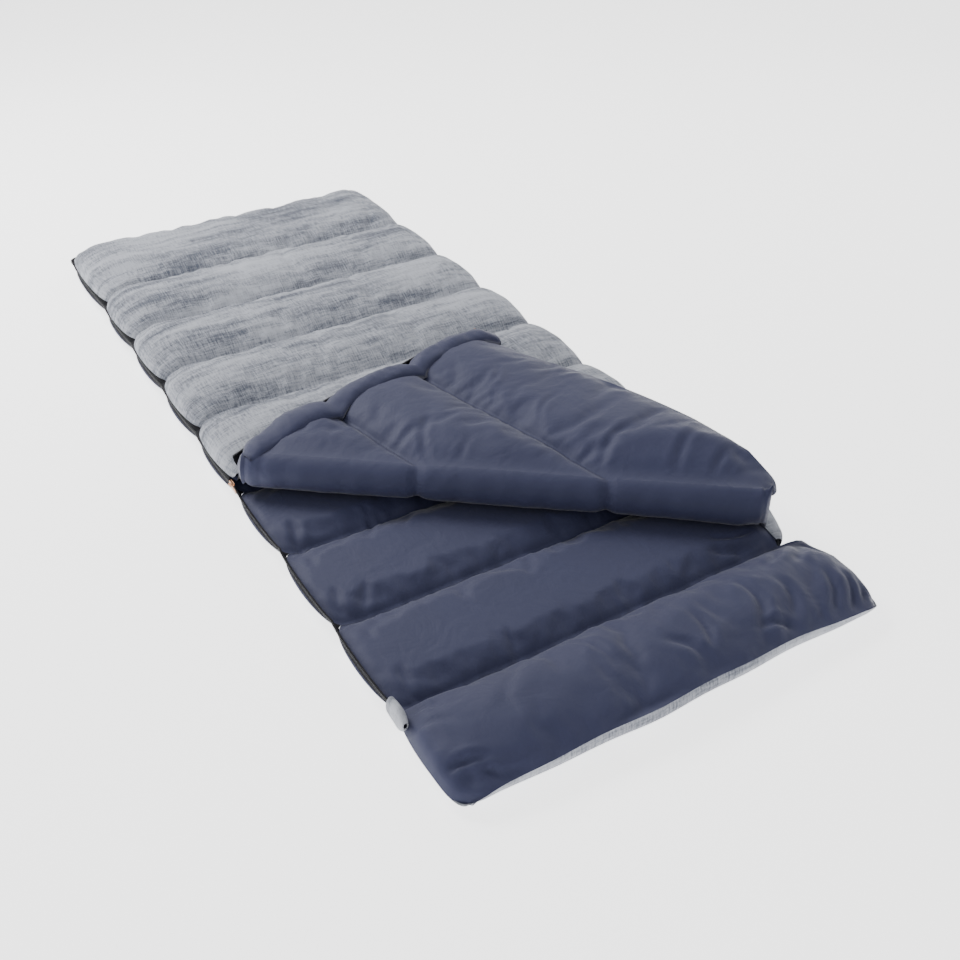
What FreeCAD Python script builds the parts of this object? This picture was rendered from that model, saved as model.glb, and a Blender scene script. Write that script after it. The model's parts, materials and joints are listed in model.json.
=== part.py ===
"""Rectangular sleeping bag with a pillow section, its cover folded back at one corner.

Millimetres, +Z up. The bag lies on the floor with its head towards -Y, its foot towards +Y and its zip
along the -X side and round the foot. The origin is on the floor, under the middle of the bag.

Three quilted pads are built alike: a tray of cloth, a crowned cover of cloth on its rim and a batt of
wadding between them. The base pad lies on the floor. The quilt pad lies over it, and the corner of the
quilt that the open zip frees, the flap, is built where it closes and then turned over about the fold line.
"""
import FreeCAD, Part
import math
import os

import Sketcher

Vector = FreeCAD.Vector
document = FreeCAD.newDocument("SleepingBag")

# ---------------------------------------------------------------- driving dimensions
SIZES = {
    "bag_length": 2000,  # head seam to foot seam
    "bag_width": 810,  # zip side to the outside of the folded side
    "pillow_length": 212.5,  # channel that reaches past the quilt's mouth
    "channel_pitch": 212.5,  # quilting seam to quilting seam
    "zip_open_length": 637.5,  # stretch of zip that is undone
    "fabric": 1,  # thickness of shell and lining cloth
    "batt_clearance": 0.2,  # between wadding and cloth
    "rim_height": 20,  # where tray and cover meet
    "seam_height": 24,  # valley of a quilting seam
    "crown_height": 40,  # top of a channel
    "pillow_crown": 56,  # top of the pillow channel
    "sleep_gap": 8,  # between the linings of base and quilt
    "mouth_clearance": 1,  # pillow seam to the quilt's mouth
    "fold_clearance": 0.3,  # between layers at the fold line
    "thread_diameter": 1.2,
    "thread_clearance": 0.1,
    "zip_offset": 6,  # pad wall to the middle of the zip
    "tape_thickness": 0.8,
    "coil_depth": 2.4,
    "coil_height": 2,
    "coil_gap": 0.8,  # between the two rows of coil
    "corner_radius": 20,  # zip round the foot corner
    "stop_length": 4,
    "stop_wall": 0.7,
    "end_box_length": 9,
    "end_box_wall": 1.2,
    "end_box_clearance": 0.4,
    "slider_length": 15,
    "slider_height": 10.4,
    "plate_thickness": 1.2,
    "plate_clearance": 0.35,
    "flange_depth": 0.7,
    "flange_height": 1,
    "web_thickness": 0.4,
    "web_length": 6,
    "bridge_gap": 2.2,
    "bridge_thickness": 1.2,
    "bridge_width": 2,
    "bridge_span": 7,
    "pull_length": 30,
    "pull_width": 8,
    "pull_thickness": 1.2,
    "pull_arm": 7,
    "pull_clearance": 0.4,
    "garage_length": 48,
    "garage_margin": 2,  # past the sewn edges of the tapes
    "garage_depth": 14,
    "tube_width": 40,
    "tube_height": 24,
    "tube_wall": 0.8,
    "tube_clearance": 0.8,  # under the quilt's flattened tube
    "tube_overhang": 12,  # draught tube past the corner of the flap
    "tube_set_in": 4,  # zip-side wall to the tube sewn inside the quilt
}

# ---------------------------------------------------------------- places, as expressions on the sheet
HEAD = "(-Sizes.bag_length / 2)"
FOOT = "(Sizes.bag_length / 2)"
SIDE_RADIUS = "(Sizes.crown_height + Sizes.sleep_gap / 2)"
LEFT = "(-Sizes.bag_width / 2)"
RIGHT = f"(Sizes.bag_width / 2 - {SIDE_RADIUS})"
PILLOW_SEAM = f"({HEAD} + Sizes.pillow_length)"
MOUTH = f"({PILLOW_SEAM} + Sizes.mouth_clearance)"
FOLD_START = f"({MOUTH} + Sizes.zip_open_length)"
FOLD_SLOPE = "(Sizes.zip_open_length / Sizes.bag_width)"
FOLD_COSINE = "(Sizes.bag_width / sqrt(Sizes.bag_width ^ 2 + Sizes.zip_open_length ^ 2))"
FLOOR_LEVEL = "0"
QUILT_LEVEL = "(Sizes.crown_height + Sizes.sleep_gap)"
FOLD_LEVEL = f"({QUILT_LEVEL} + Sizes.crown_height + Sizes.fold_clearance)"
HALF_TURN = (
    "placement(vector(0; 0; 0); rotation(vector(Sizes.bag_width; -Sizes.zip_open_length; 0); 180);"
    f" vector({LEFT}; {FOLD_START}; {FOLD_LEVEL}))"
)
ZIP_X = f"({LEFT} - Sizes.zip_offset)"
ZIP_Y = f"({FOOT} + Sizes.zip_offset)"
ZIP_LEVEL = SIDE_RADIUS
ZIP_END_X = f"({RIGHT} - Sizes.end_box_length - 2 * Sizes.stop_length)"
SLIDER_Y = f"({FOLD_START} + Sizes.slider_length / 2)"
COIL_OUTER = "(Sizes.coil_gap / 2 + Sizes.coil_height)"
LOWER_REACH = f"({ZIP_LEVEL} - Sizes.seam_height + Sizes.fabric)"  # to the base tape's sewn edge
UPPER_REACH = "(Sizes.sleep_gap / 2 + Sizes.rim_height - Sizes.fabric)"  # to the quilt tape's sewn edge


def make_sheet():
    """The spreadsheet that holds the driving dimensions."""
    sheet = document.addObject("Spreadsheet::Sheet", "Sizes")
    for row, (alias, value) in enumerate(SIZES.items(), start=1):
        sheet.set(f"A{row}", alias)
        sheet.set(f"B{row}", str(value))
        sheet.setAlias(f"B{row}", alias)
    document.recompute()
    return sheet


SHEET = make_sheet()


def value(expression):
    """What an expression on the sheet comes to, in millimetres."""
    result = SHEET.evalExpression(str(expression))
    return float(getattr(result, "Value", result))


# ---------------------------------------------------------------- sketches and features
def new_body(label):
    body = document.addObject("PartDesign::Body", label)
    body.Label = label
    return body


def new_sketch(body, role, name, offset="0"):
    """A sketch on one of the body's own origin planes, moved along the plane's normal by an expression."""
    sketch = body.newObject("Sketcher::SketchObject", f"{body.Name}_{name}")
    support = next(f for f in body.Origin.OriginFeatures if f.Role == role)
    sketch.AttachmentSupport = [(support, "")]
    sketch.MapMode = "FlatFace"
    sketch.setExpression(".AttachmentOffset.Base.z", offset)
    return sketch


def pin_point(sketch, geometry, end, x, y):
    """Ties one end of a sketch line or arc to two expressions."""
    for kind, expression in (("DistanceX", x), ("DistanceY", y)):
        index = sketch.addConstraint(
            Sketcher.Constraint(kind, -1, 1, geometry, end, value(expression))
        )
        sketch.setExpression(f"Constraints[{index}]", expression)


def outline(sketch, corners):
    """A closed outline of straight lines through corners given as pairs of expressions."""
    points = [Vector(value(x), value(y), 0) for x, y in corners]
    first = sketch.GeometryCount
    for start, end in zip(points, points[1:] + points[:1]):
        sketch.addGeometry(Part.LineSegment(start, end))
    for number, (x, y) in enumerate(corners):
        before = first + (number - 1) % len(corners)
        sketch.addConstraint(Sketcher.Constraint("Coincident", before, 2, first + number, 1))
        pin_point(sketch, first + number, 1, x, y)
    return sketch


def rectangle(sketch, x_low, x_high, y_low, y_high):
    corners = [(x_low, y_low), (x_high, y_low), (x_high, y_high), (x_low, y_high)]
    return outline(sketch, corners)


def crowned_outline(sketch, seams, crowns, floor, valley):
    """A closed outline: a flat floor, two walls and one arc from each seam to the next."""
    places = [value(seam) for seam in seams]
    floor_at, valley_at = value(floor), value(valley)
    sketch.addGeometry(Part.LineSegment(Vector(places[-1], floor_at, 0), Vector(places[0], floor_at, 0)))
    sketch.addGeometry(Part.LineSegment(Vector(places[0], floor_at, 0), Vector(places[0], valley_at, 0)))
    for low, high, crown in zip(places, places[1:], crowns):
        top = Vector((low + high) / 2, value(crown), 0)
        sketch.addGeometry(Part.Arc(Vector(low, valley_at, 0), top, Vector(high, valley_at, 0)))
    last = 2 + len(crowns)
    sketch.addGeometry(Part.LineSegment(Vector(places[-1], valley_at, 0), Vector(places[-1], floor_at, 0)))
    join = [(0, 2, 1, 1), (1, 2, 2, 2), (last - 1, 1, last, 1), (last, 2, 0, 1)]
    join += [(arc, 1, arc + 1, 2) for arc in range(2, last - 1)]
    for here, here_end, there, there_end in join:
        sketch.addConstraint(Sketcher.Constraint("Coincident", here, here_end, there, there_end))
    pin_point(sketch, 0, 1, seams[-1], floor)
    pin_point(sketch, 0, 2, seams[0], floor)
    pin_point(sketch, last, 1, seams[-1], valley)
    for number, crown in enumerate(crowns):
        pin_point(sketch, 2 + number, 2, seams[number], valley)
        half, rise = f"(({seams[number + 1]} - {seams[number]}) / 2)", f"({crown} - {valley})"
        radius = f"({half} ^ 2 + {rise} ^ 2) / (2 * {rise})"
        index = sketch.addConstraint(Sketcher.Constraint("Radius", 2 + number, value(radius)))
        sketch.setExpression(f"Constraints[{index}]", radius)
    return sketch


def pad(body, sketch, length, symmetric=False, reverse=False):
    feature = body.newObject("PartDesign::Pad", f"{sketch.Name}_pad")
    feature.Profile = sketch
    feature.SideType = "Symmetric" if symmetric else "One side"
    feature.Reversed = reverse
    feature.setExpression("Length", length)
    return feature


def pocket(body, sketch, length=None, reverse=False):
    """Cuts a sketch to an expression's depth, or right through both ways where no depth is given."""
    feature = body.newObject("PartDesign::Pocket", f"{sketch.Name}_pocket")
    feature.Profile = sketch
    feature.Reversed = reverse
    if length is None:
        feature.SideType = "Symmetric"
        feature.Type = "ThroughAll"
    else:
        feature.setExpression("Length", length)
    return feature


def place(item, x="0", y="0", z="0"):
    """Binds an object's position to three expressions."""
    for axis, expression in zip("xyz", (x, y, z)):
        item.setExpression(f".Placement.Base.{axis}", expression)
    return item


def turn_over(item, x="0", y="0", z="0"):
    """Binds a position where the flap closes, then half a turn about the fold line to where it lies."""
    closed = f"placement(vector({x}; {y}; {z}); rotation(vector(0; 0; 1); 0))"
    item.setExpression("Placement", f"{HALF_TURN} * {closed}")
    return item


# ---------------------------------------------------------------- quilted pads
def channel_seams(first, last):
    """Seam places from the head to the foot, and the crown of each channel between them.

    The foot channel takes what is left, between one and two pitches.
    """
    run = value(FOOT) - value(PILLOW_SEAM)
    regular = math.floor(run / value("Sizes.channel_pitch")) - 1
    inner = [f"({PILLOW_SEAM} + {number} * Sizes.channel_pitch)" for number in range(1, regular + 1)]
    return [first, *inner, last]


def grown(seams, by):
    """The seams with the first and last moved inwards by an expression."""
    return [f"({seams[0]} + {by})", *seams[1:-1], f"({seams[-1]} - {by})"]


def round_corner(body, inset="0"):
    """Rounds the foot corner on the zip side, so that the zip runs round it at an even distance."""
    sketch = new_sketch(body, "XY_Plane", "corner")
    start = "(Sizes.corner_radius - Sizes.zip_offset)"
    radius = f"({start} - {inset})"
    centre = Vector(value(f"{LEFT} + {start}"), value(f"{FOOT} - {start}"), 0)
    size, out = value(radius), value(start) + 1
    tips = [centre + Vector(-size, 0, 0), centre + Vector(-out, 0, 0), centre + Vector(-out, out, 0)]
    tips += [centre + Vector(0, out, 0), centre + Vector(0, size, 0)]
    circle = Part.Circle(centre, Vector(0, 0, 1), size)
    sketch.addGeometry(Part.ArcOfCircle(circle, math.pi / 2, math.pi))
    for first, second in zip(tips, tips[1:]):
        sketch.addGeometry(Part.LineSegment(first, second))
    for here, here_end, there, there_end in ((0, 2, 1, 1), (1, 2, 2, 1), (2, 2, 3, 1), (3, 2, 4, 1), (4, 2, 0, 1)):
        sketch.addConstraint(Sketcher.Constraint("Coincident", here, here_end, there, there_end))
    for kind, line in (("Horizontal", 1), ("Vertical", 2), ("Horizontal", 3), ("Vertical", 4)):
        sketch.addConstraint(Sketcher.Constraint(kind, line))
    pin_point(sketch, 0, 3, f"{LEFT} + {start}", f"{FOOT} - {start}")
    pin_point(sketch, 2, 2, f"{LEFT} - 1", f"{FOOT} + 1")
    index = sketch.addConstraint(Sketcher.Constraint("Radius", 0, size))
    sketch.setExpression(f"Constraints[{index}]", radius)
    pocket(body, sketch)


def tray(label, level, panels):
    """Cloth floor and walls up to the rim, for one or more panels given as head, foot and right-hand side."""
    body = new_body(label)
    for number, (head, foot, right) in enumerate(panels):
        plan = new_sketch(body, "XY_Plane", f"plan{number}", level)
        pad(body, rectangle(plan, LEFT, right, head, foot), "Sizes.rim_height")
    for number, (head, foot, right) in enumerate(panels):
        inside = new_sketch(body, "XY_Plane", f"inside{number}", f"{level} + Sizes.rim_height")
        sides = [f"({LEFT} + Sizes.fabric)", f"({right} - Sizes.fabric)"]
        rectangle(inside, *sides, f"({head} + Sizes.fabric)", f"({foot} - Sizes.fabric)")
        pocket(body, inside, "Sizes.rim_height - Sizes.fabric")
    round_corner(body)
    return body


def crowned_solid(body, name, seams, crowns, level, inset, floor, right=RIGHT, subtract=False):
    """A crowned prism from the zip side to the other side, less an inset on every side."""
    sketch = new_sketch(body, "YZ_Plane", name, f"{LEFT} + {inset}")
    valley = f"({level} + Sizes.seam_height - {inset})"
    tops = [f"({level} + {crown} - {inset})" for crown in crowns]
    crowned_outline(sketch, grown(seams, inset), tops, f"({level} + {floor})", valley)
    width = f"{right} - {LEFT} - 2 * {inset}"
    if subtract:
        pocket(body, sketch, width, reverse=True)
    else:
        pad(body, sketch, width)


def cover(label, level, panels):
    """Cloth crowns and walls down to the rim, for panels given as seams, crowns and right-hand side."""
    body = new_body(label)
    rim, cloth = "Sizes.rim_height", "Sizes.fabric"
    for number, (seams, crowns, right) in enumerate(panels):
        crowned_solid(body, f"outside{number}", seams, crowns, level, "0", rim, right)
    for number, (seams, crowns, right) in enumerate(panels):
        crowned_solid(body, f"inside{number}", seams, crowns, level, cloth, rim, right, subtract=True)
    round_corner(body)
    return body


def batt(label, level, seams, crowns, right=RIGHT):
    """Wadding that fills a tray and its cover."""
    body = new_body(label)
    inset = "(Sizes.fabric + Sizes.batt_clearance)"
    crowned_solid(body, "filling", seams, crowns, level, inset, inset, right)
    if seams[-1] == FOOT:
        round_corner(body, inset)
    return body


def open_side(body, head, level):
    """Takes away the wall on the folded side, where the cloth runs on round the fold."""
    sketch = new_sketch(body, "XY_Plane", "open_side", f"{level} + Sizes.pillow_crown")
    wall = f"({RIGHT} - Sizes.fabric)"
    rectangle(sketch, wall, RIGHT, f"({head} + Sizes.fabric)", f"({FOOT} - Sizes.fabric)")
    pocket(body, sketch, f"Sizes.pillow_crown - Sizes.fabric")


def fold_x(y):
    """Where the fold line crosses a line across the bag."""
    return f"({LEFT} + ({FOLD_START} - {y}) / {FOLD_SLOPE})"


def fold_y(x):
    """Where the fold line crosses a line along the bag."""
    return f"({FOLD_START} - ({x} - {LEFT}) * {FOLD_SLOPE})"


def cut_at_fold(body, keep):
    """Cuts a pad along the fold line and keeps its "quilt" or its "flap" side."""
    sketch = new_sketch(body, "XY_Plane", "fold_cut")
    past_left, past_right = f"({LEFT} - 1)", f"({RIGHT} + 1)"
    if keep == "quilt":
        limit, back = f"({MOUTH} - 1)", "0"
    else:
        limit, back = f"({FOOT} + 1)", f"(Sizes.fold_clearance / {FOLD_COSINE})"
    line = [(x, f"({fold_y(x)} - {back})") for x in (past_right, past_left)]
    outline(sketch, [(past_left, limit), (past_right, limit), *line])
    pocket(body, sketch)


def threads(label, level, seams, part=None):
    """One row of thread in the valley of each quilting seam, on the whole pad or on one side of the fold."""
    inset = "2 * Sizes.fabric"
    rows = []
    for number, seam in enumerate(seams):
        start, end = LEFT, RIGHT
        if part == "flap":
            end = fold_x(seam)
        elif part and value(seam) < value(FOLD_START):
            start = fold_x(seam)
        length = f"{end} - {start} - 2 * {inset}"
        if value(length) < value("Sizes.seam_height"):
            continue
        row = document.addObject("Part::Cylinder", f"{label}_row{number}")
        row.setExpression("Radius", "Sizes.thread_diameter / 2")
        row.setExpression("Height", length)
        row.Placement.Rotation = FreeCAD.Rotation(Vector(0, 1, 0), 90)
        rise = "Sizes.seam_height + Sizes.thread_diameter / 2 + Sizes.thread_clearance"
        place(row, f"{start} + {inset}", seam, f"{level} + {rise}")
        rows.append(row)
    group = document.addObject("Part::Compound", label)
    group.Label = label
    group.Links = rows
    return group


def make_base():
    seams, pillow_seams = channel_seams(PILLOW_SEAM, FOOT), [HEAD, PILLOW_SEAM]
    crowns, pillow_crowns = ["Sizes.crown_height"] * (len(seams) - 1), ["Sizes.pillow_crown"]
    far_side = "(Sizes.bag_width / 2)"
    shell = tray("base_shell", FLOOR_LEVEL, [(PILLOW_SEAM, FOOT, RIGHT), (HEAD, PILLOW_SEAM, far_side)])
    panels = [(seams, crowns, RIGHT), (pillow_seams, pillow_crowns, far_side)]
    lining = cover("base_lining", FLOOR_LEVEL, panels)
    for body in (shell, lining):
        open_side(body, MOUTH, FLOOR_LEVEL)
    return [
        shell,
        lining,
        batt("base_batt", FLOOR_LEVEL, seams, crowns),
        batt("pillow_batt", FLOOR_LEVEL, pillow_seams, pillow_crowns, far_side),
        threads("base_quilting_thread", FLOOR_LEVEL, seams[:-1]),
    ]


def make_quilt_part(part):
    """Lining, shell, batt and thread of the quilt or of its flap, where they lie with the zip done up."""
    seams = channel_seams(MOUTH, FOOT)
    crowns = ["Sizes.crown_height"] * (len(seams) - 1)
    lining = tray(f"{part}_lining", QUILT_LEVEL, [(MOUTH, FOOT, RIGHT)])
    shell = cover(f"{part}_shell", QUILT_LEVEL, [(seams, crowns, RIGHT)])
    filling = batt(f"{part}_batt", QUILT_LEVEL, seams, crowns)
    if part == "quilt":
        open_side(lining, MOUTH, QUILT_LEVEL)
        open_side(shell, MOUTH, QUILT_LEVEL)
    for body in (lining, shell, filling):
        cut_at_fold(body, part)
    return [lining, shell, filling, threads(f"{part}_quilting_thread", QUILT_LEVEL, seams[1:-1], part)]


# ---------------------------------------------------------------- folds
def half_pipe(label, inner, outer, length):
    """Half a pipe along the body's own X axis, on its -Y side."""
    body = new_body(label)
    sketch = new_sketch(body, "YZ_Plane", "section")
    radii = [value(outer), value(inner)]
    for radius in radii:
        sketch.addGeometry(
            Part.ArcOfCircle(Part.Circle(Vector(), Vector(0, 0, 1), radius), math.pi / 2, 1.5 * math.pi)
        )
    for sign in (1, -1):
        sketch.addGeometry(Part.LineSegment(Vector(0, sign * radii[0], 0), Vector(0, sign * radii[1], 0)))
    for arc, radius in ((0, outer), (1, inner)):
        sketch.addConstraint(Sketcher.Constraint("Coincident", arc, 3, -1, 1))
        index = sketch.addConstraint(Sketcher.Constraint("Radius", arc, value(radius)))
        sketch.setExpression(f"Constraints[{index}]", radius)
        for line, end in ((2, 1), (3, 2)):
            sketch.addConstraint(Sketcher.Constraint("Coincident", arc, end, line, arc + 1))
            sketch.addConstraint(Sketcher.Constraint("PointOnObject", line, arc + 1, -2))
    pad(body, sketch, length)
    return body


def make_side_fold():
    """Shell, batt and lining where the bag is folded along its +X side."""
    cloth, wadding = "Sizes.fabric", "Sizes.batt_clearance"
    bore = "Sizes.sleep_gap / 2"
    layers = {
        "side_fold_lining": (bore, f"{bore} + {cloth}"),
        "side_fold_batt": (f"{bore} + {cloth} + {wadding}", f"{SIDE_RADIUS} - {cloth} - {wadding}"),
        "side_fold_shell": (f"{SIDE_RADIUS} - {cloth}", SIDE_RADIUS),
    }
    made = []
    for label, (inner, outer) in layers.items():
        body = half_pipe(label, inner, outer, f"{FOOT} - {MOUTH}")
        body.Placement.Rotation = FreeCAD.Rotation(Vector(0, 0, 1), 90)
        made.append(place(body, RIGHT, MOUTH, SIDE_RADIUS))
    return made


def make_fold():
    """Shell, batt and lining where the flap turns back, trimmed to the bag's two sides."""
    cloth, wadding, bore = "Sizes.fabric", "Sizes.batt_clearance", "Sizes.fold_clearance"
    outside = f"({FOLD_LEVEL} - {QUILT_LEVEL})"
    layers = {
        "fold_shell": (bore, f"{bore} + {cloth}"),
        "fold_batt": (f"{bore} + {cloth} + {wadding}", f"{outside} - {cloth} - {wadding}"),
        "fold_lining": (f"{outside} - {cloth}", outside),
    }
    sine, past = f"({FOLD_COSINE} * {FOLD_SLOPE})", "Sizes.crown_height"
    made = []
    for label, (inner, outer) in layers.items():
        roll = half_pipe(f"{label}_roll", inner, outer, f"Sizes.bag_width / {FOLD_COSINE} + 2 * {past}")
        roll.setExpression(".Placement.Rotation.Angle", f"-atan({FOLD_SLOPE})")
        place(
            roll,
            f"{LEFT} - {past} * {FOLD_COSINE} - {bore} * {sine}",
            f"{FOLD_START} + {past} * {sine} - {bore} * {FOLD_COSINE}",
            FOLD_LEVEL,
        )
        trim = document.addObject("Part::Box", f"{label}_trim")
        trim.setExpression("Length", f"{RIGHT} - {LEFT}")
        trim.setExpression("Width", "Sizes.bag_length")
        trim.setExpression("Height", f"4 * {past}")
        place(trim, LEFT, HEAD, FLOOR_LEVEL)
        trimmed = document.addObject("Part::Common", label)
        trimmed.Label = label
        trimmed.Base = roll
        trimmed.Tool = trim
        made.append(trimmed)
    return made


# ---------------------------------------------------------------- zip
def zip_path(name, start_y, end_x):
    """The middle of the zip: down the zip side, round the foot corner and across the foot."""
    sketch = document.addObject("Sketcher::SketchObject", name)
    x, y, corner = value(ZIP_X), value(ZIP_Y), value("Sizes.corner_radius")
    side_end, foot_start = Vector(x, y - corner, 0), Vector(x + corner, y, 0)
    centre = Part.Circle(Vector(x + corner, y - corner, 0), Vector(0, 0, 1), corner)
    sketch.addGeometry(Part.LineSegment(Vector(x, value(start_y), 0), side_end))
    sketch.addGeometry(Part.ArcOfCircle(centre, math.pi / 2, math.pi))
    sketch.addGeometry(Part.LineSegment(foot_start, Vector(value(end_x), y, 0)))
    sketch.addConstraint(Sketcher.Constraint("Tangent", 0, 2, 1, 2))
    sketch.addConstraint(Sketcher.Constraint("Tangent", 1, 1, 2, 1))
    sketch.addConstraint(Sketcher.Constraint("Vertical", 0))
    sketch.addConstraint(Sketcher.Constraint("Horizontal", 2))
    pin_point(sketch, 0, 1, ZIP_X, start_y)
    pin_point(sketch, 2, 2, end_x, ZIP_Y)
    index = sketch.addConstraint(Sketcher.Constraint("Radius", 1, corner))
    sketch.setExpression(f"Constraints[{index}]", "Sizes.corner_radius")
    place(sketch, z=ZIP_LEVEL)
    return sketch


def tape_corners(side):
    """Section of a tape: from the coil to the sewn edge, then in to the pad. side is 1 above the zip, -1 below."""
    top = UPPER_REACH if side > 0 else LOWER_REACH
    half, low = "Sizes.tape_thickness / 2", "Sizes.coil_gap / 2"
    inner_top = f"({top} - Sizes.tape_thickness)"
    points = [
        (f"-{half}", low),
        (half, low),
        (half, inner_top),
        ("Sizes.zip_offset", inner_top),
        ("Sizes.zip_offset", top),
        (f"-{half}", top),
    ]
    return [(x, f"{side} * ({y})") for x, y in points]


def coil_blocks(side):
    """Section of a row of coil, in two blocks, one on each face of its tape."""
    near, far = f"{side} * Sizes.coil_gap / 2", f"{side} * {COIL_OUTER}"
    inner, outer = "Sizes.tape_thickness / 2", "Sizes.coil_depth / 2"
    return [(f"-{outer}", f"-{inner}", near, far), (inner, outer, near, far)]


def section_at(name, start_y):
    """A sketch across the zip side, centred on the zip: its X runs inwards and its Y upwards."""
    sketch = document.addObject("Sketcher::SketchObject", name)
    sketch.Placement.Rotation = FreeCAD.Rotation(Vector(1, 0, 0), 90)
    return place(sketch, ZIP_X, start_y, ZIP_LEVEL)


def swept(label, sections, path):
    """Sections carried along a path. More than one section makes a group of separate solids."""
    sweeps = []
    for number, section in enumerate(sections):
        sweep = document.addObject("Part::Sweep", label if len(sections) == 1 else f"{label}_{number}")
        sweep.Sections = [section]
        sweep.Spine = (path, ["Edge1", "Edge2", "Edge3"])
        sweep.Solid = True
        sweep.Transition = "Round corner"
        sweeps.append(sweep)
    if len(sweeps) == 1:
        sweeps[0].Label = label
        return sweeps[0]
    group = document.addObject("Part::Compound", label)
    group.Label = label
    group.Links = sweeps
    return group


def zip_half(owner, side, start_y):
    """Tape and coil of the base or of the quilt, from a place on the zip side to the foot's far end."""
    path = zip_path(f"{owner}_zip_path", start_y, ZIP_END_X)
    tape_section = outline(section_at(f"{owner}_tape_section", start_y), tape_corners(side))
    coil_sections = [
        rectangle(section_at(f"{owner}_coil_section{number}", start_y), *block)
        for number, block in enumerate(coil_blocks(side))
    ]
    return [
        swept(f"{owner}_zip_tape", [tape_section], path),
        swept(f"{owner}_zip_coil", coil_sections, path),
    ]


def flap_zip_half(start_y, end_y):
    """Tape and coil of the flap, which are straight."""
    run = f"{end_y} - {start_y}"
    tape = new_body("flap_zip_tape")
    section = outline(new_sketch(tape, "XZ_Plane", "section"), tape_corners(1))
    pad(tape, section, run, reverse=True)
    rows = []
    for number, block in enumerate(coil_blocks(1)):
        row = new_body(f"flap_coil_row{number}")
        pad(row, rectangle(new_sketch(row, "XZ_Plane", "section"), *block), run, reverse=True)
        rows.append(row)
    coil = document.addObject("Part::Compound", "flap_zip_coil")
    coil.Label = "flap_zip_coil"
    coil.Links = rows
    return [turn_over(item, ZIP_X, start_y, ZIP_LEVEL) for item in (tape, coil)]


def top_stop(label, side):
    """A clip over the end of a row of coil, just past its last turn. side is 1 above the zip, -1 below."""
    body = new_body(label)
    reach = "(Sizes.coil_depth / 2 + Sizes.stop_wall)"
    sketch = new_sketch(body, "XZ_Plane", "section")
    near, far = f"{side} * Sizes.coil_gap / 2", f"{side} * ({COIL_OUTER} + Sizes.stop_wall)"
    pad(body, rectangle(sketch, f"-{reach}", reach, near, far), "Sizes.stop_length")
    return body


def end_box():
    """The retaining box at the zip's far end, open above so that the quilt's pin lifts out."""
    body = new_body("zip_end_box")
    inner = "(Sizes.coil_depth / 2 + Sizes.end_box_clearance)"
    outer = f"({inner} + Sizes.end_box_wall)"
    low, high = f"-({COIL_OUTER} + Sizes.end_box_wall)", COIL_OUTER
    sketch = new_sketch(body, "YZ_Plane", "section")
    step = "-Sizes.coil_gap / 2"
    corners = [(f"-{outer}", low), (outer, low), (outer, high), (inner, high), (inner, step)]
    outline(sketch, corners + [(f"-{inner}", step), (f"-{inner}", high), (f"-{outer}", high)])
    pad(body, sketch, "Sizes.end_box_length")
    return place(body, ZIP_END_X, ZIP_Y, ZIP_LEVEL)


def end_pin():
    """The pin at the end of the quilt's coil, which stands in the box."""
    body = new_body("quilt_zip_pin")
    half = "Sizes.coil_depth / 2"
    sketch = new_sketch(body, "YZ_Plane", "section")
    rectangle(sketch, f"-{half}", half, "Sizes.coil_gap / 2", COIL_OUTER)
    pad(body, sketch, "Sizes.end_box_length")
    return place(body, ZIP_END_X, ZIP_Y, ZIP_LEVEL)


def garage():
    """The folded patch that the slider parks in: outer wall, floor, roof and end, open towards the zip."""
    body = new_body("zip_garage")
    depth, half = "Sizes.garage_depth", f"({LOWER_REACH} + Sizes.garage_margin)"
    outside = rectangle(new_sketch(body, "XZ_Plane", "outside"), f"-{depth}", "0", f"-{half}", half)
    pad(body, outside, "Sizes.garage_length")
    cloth = "Sizes.fabric"
    inside = new_sketch(body, "XZ_Plane", "inside")
    rectangle(inside, f"-{depth} + {cloth}", "1", f"-{half} + {cloth}", f"{half} - {cloth}")
    pocket(body, inside, f"Sizes.garage_length - {cloth}", reverse=True)
    return place(body, LEFT, PILLOW_SEAM, ZIP_LEVEL)


# ---------------------------------------------------------------- slider
PLATE_INNER = "(Sizes.coil_depth / 2 + Sizes.plate_clearance)"
PLATE_OUTER = f"({PLATE_INNER} + Sizes.plate_thickness)"


def slider_plate(body, name, start):
    """One plate, wide where the two rows part and narrow where they leave joined."""
    half, wide = "Sizes.slider_length / 2", "Sizes.slider_height / 2"
    narrow = f"({wide} - Sizes.flange_height / 2)"
    corners = [(f"-{half}", f"-{wide}"), ("0", f"-{wide}"), (half, f"-{narrow}")]
    corners += [(half, narrow), ("0", wide), (f"-{half}", wide)]
    sketch = outline(new_sketch(body, "YZ_Plane", name, start), corners)
    return pad(body, sketch, "Sizes.plate_thickness")


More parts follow.
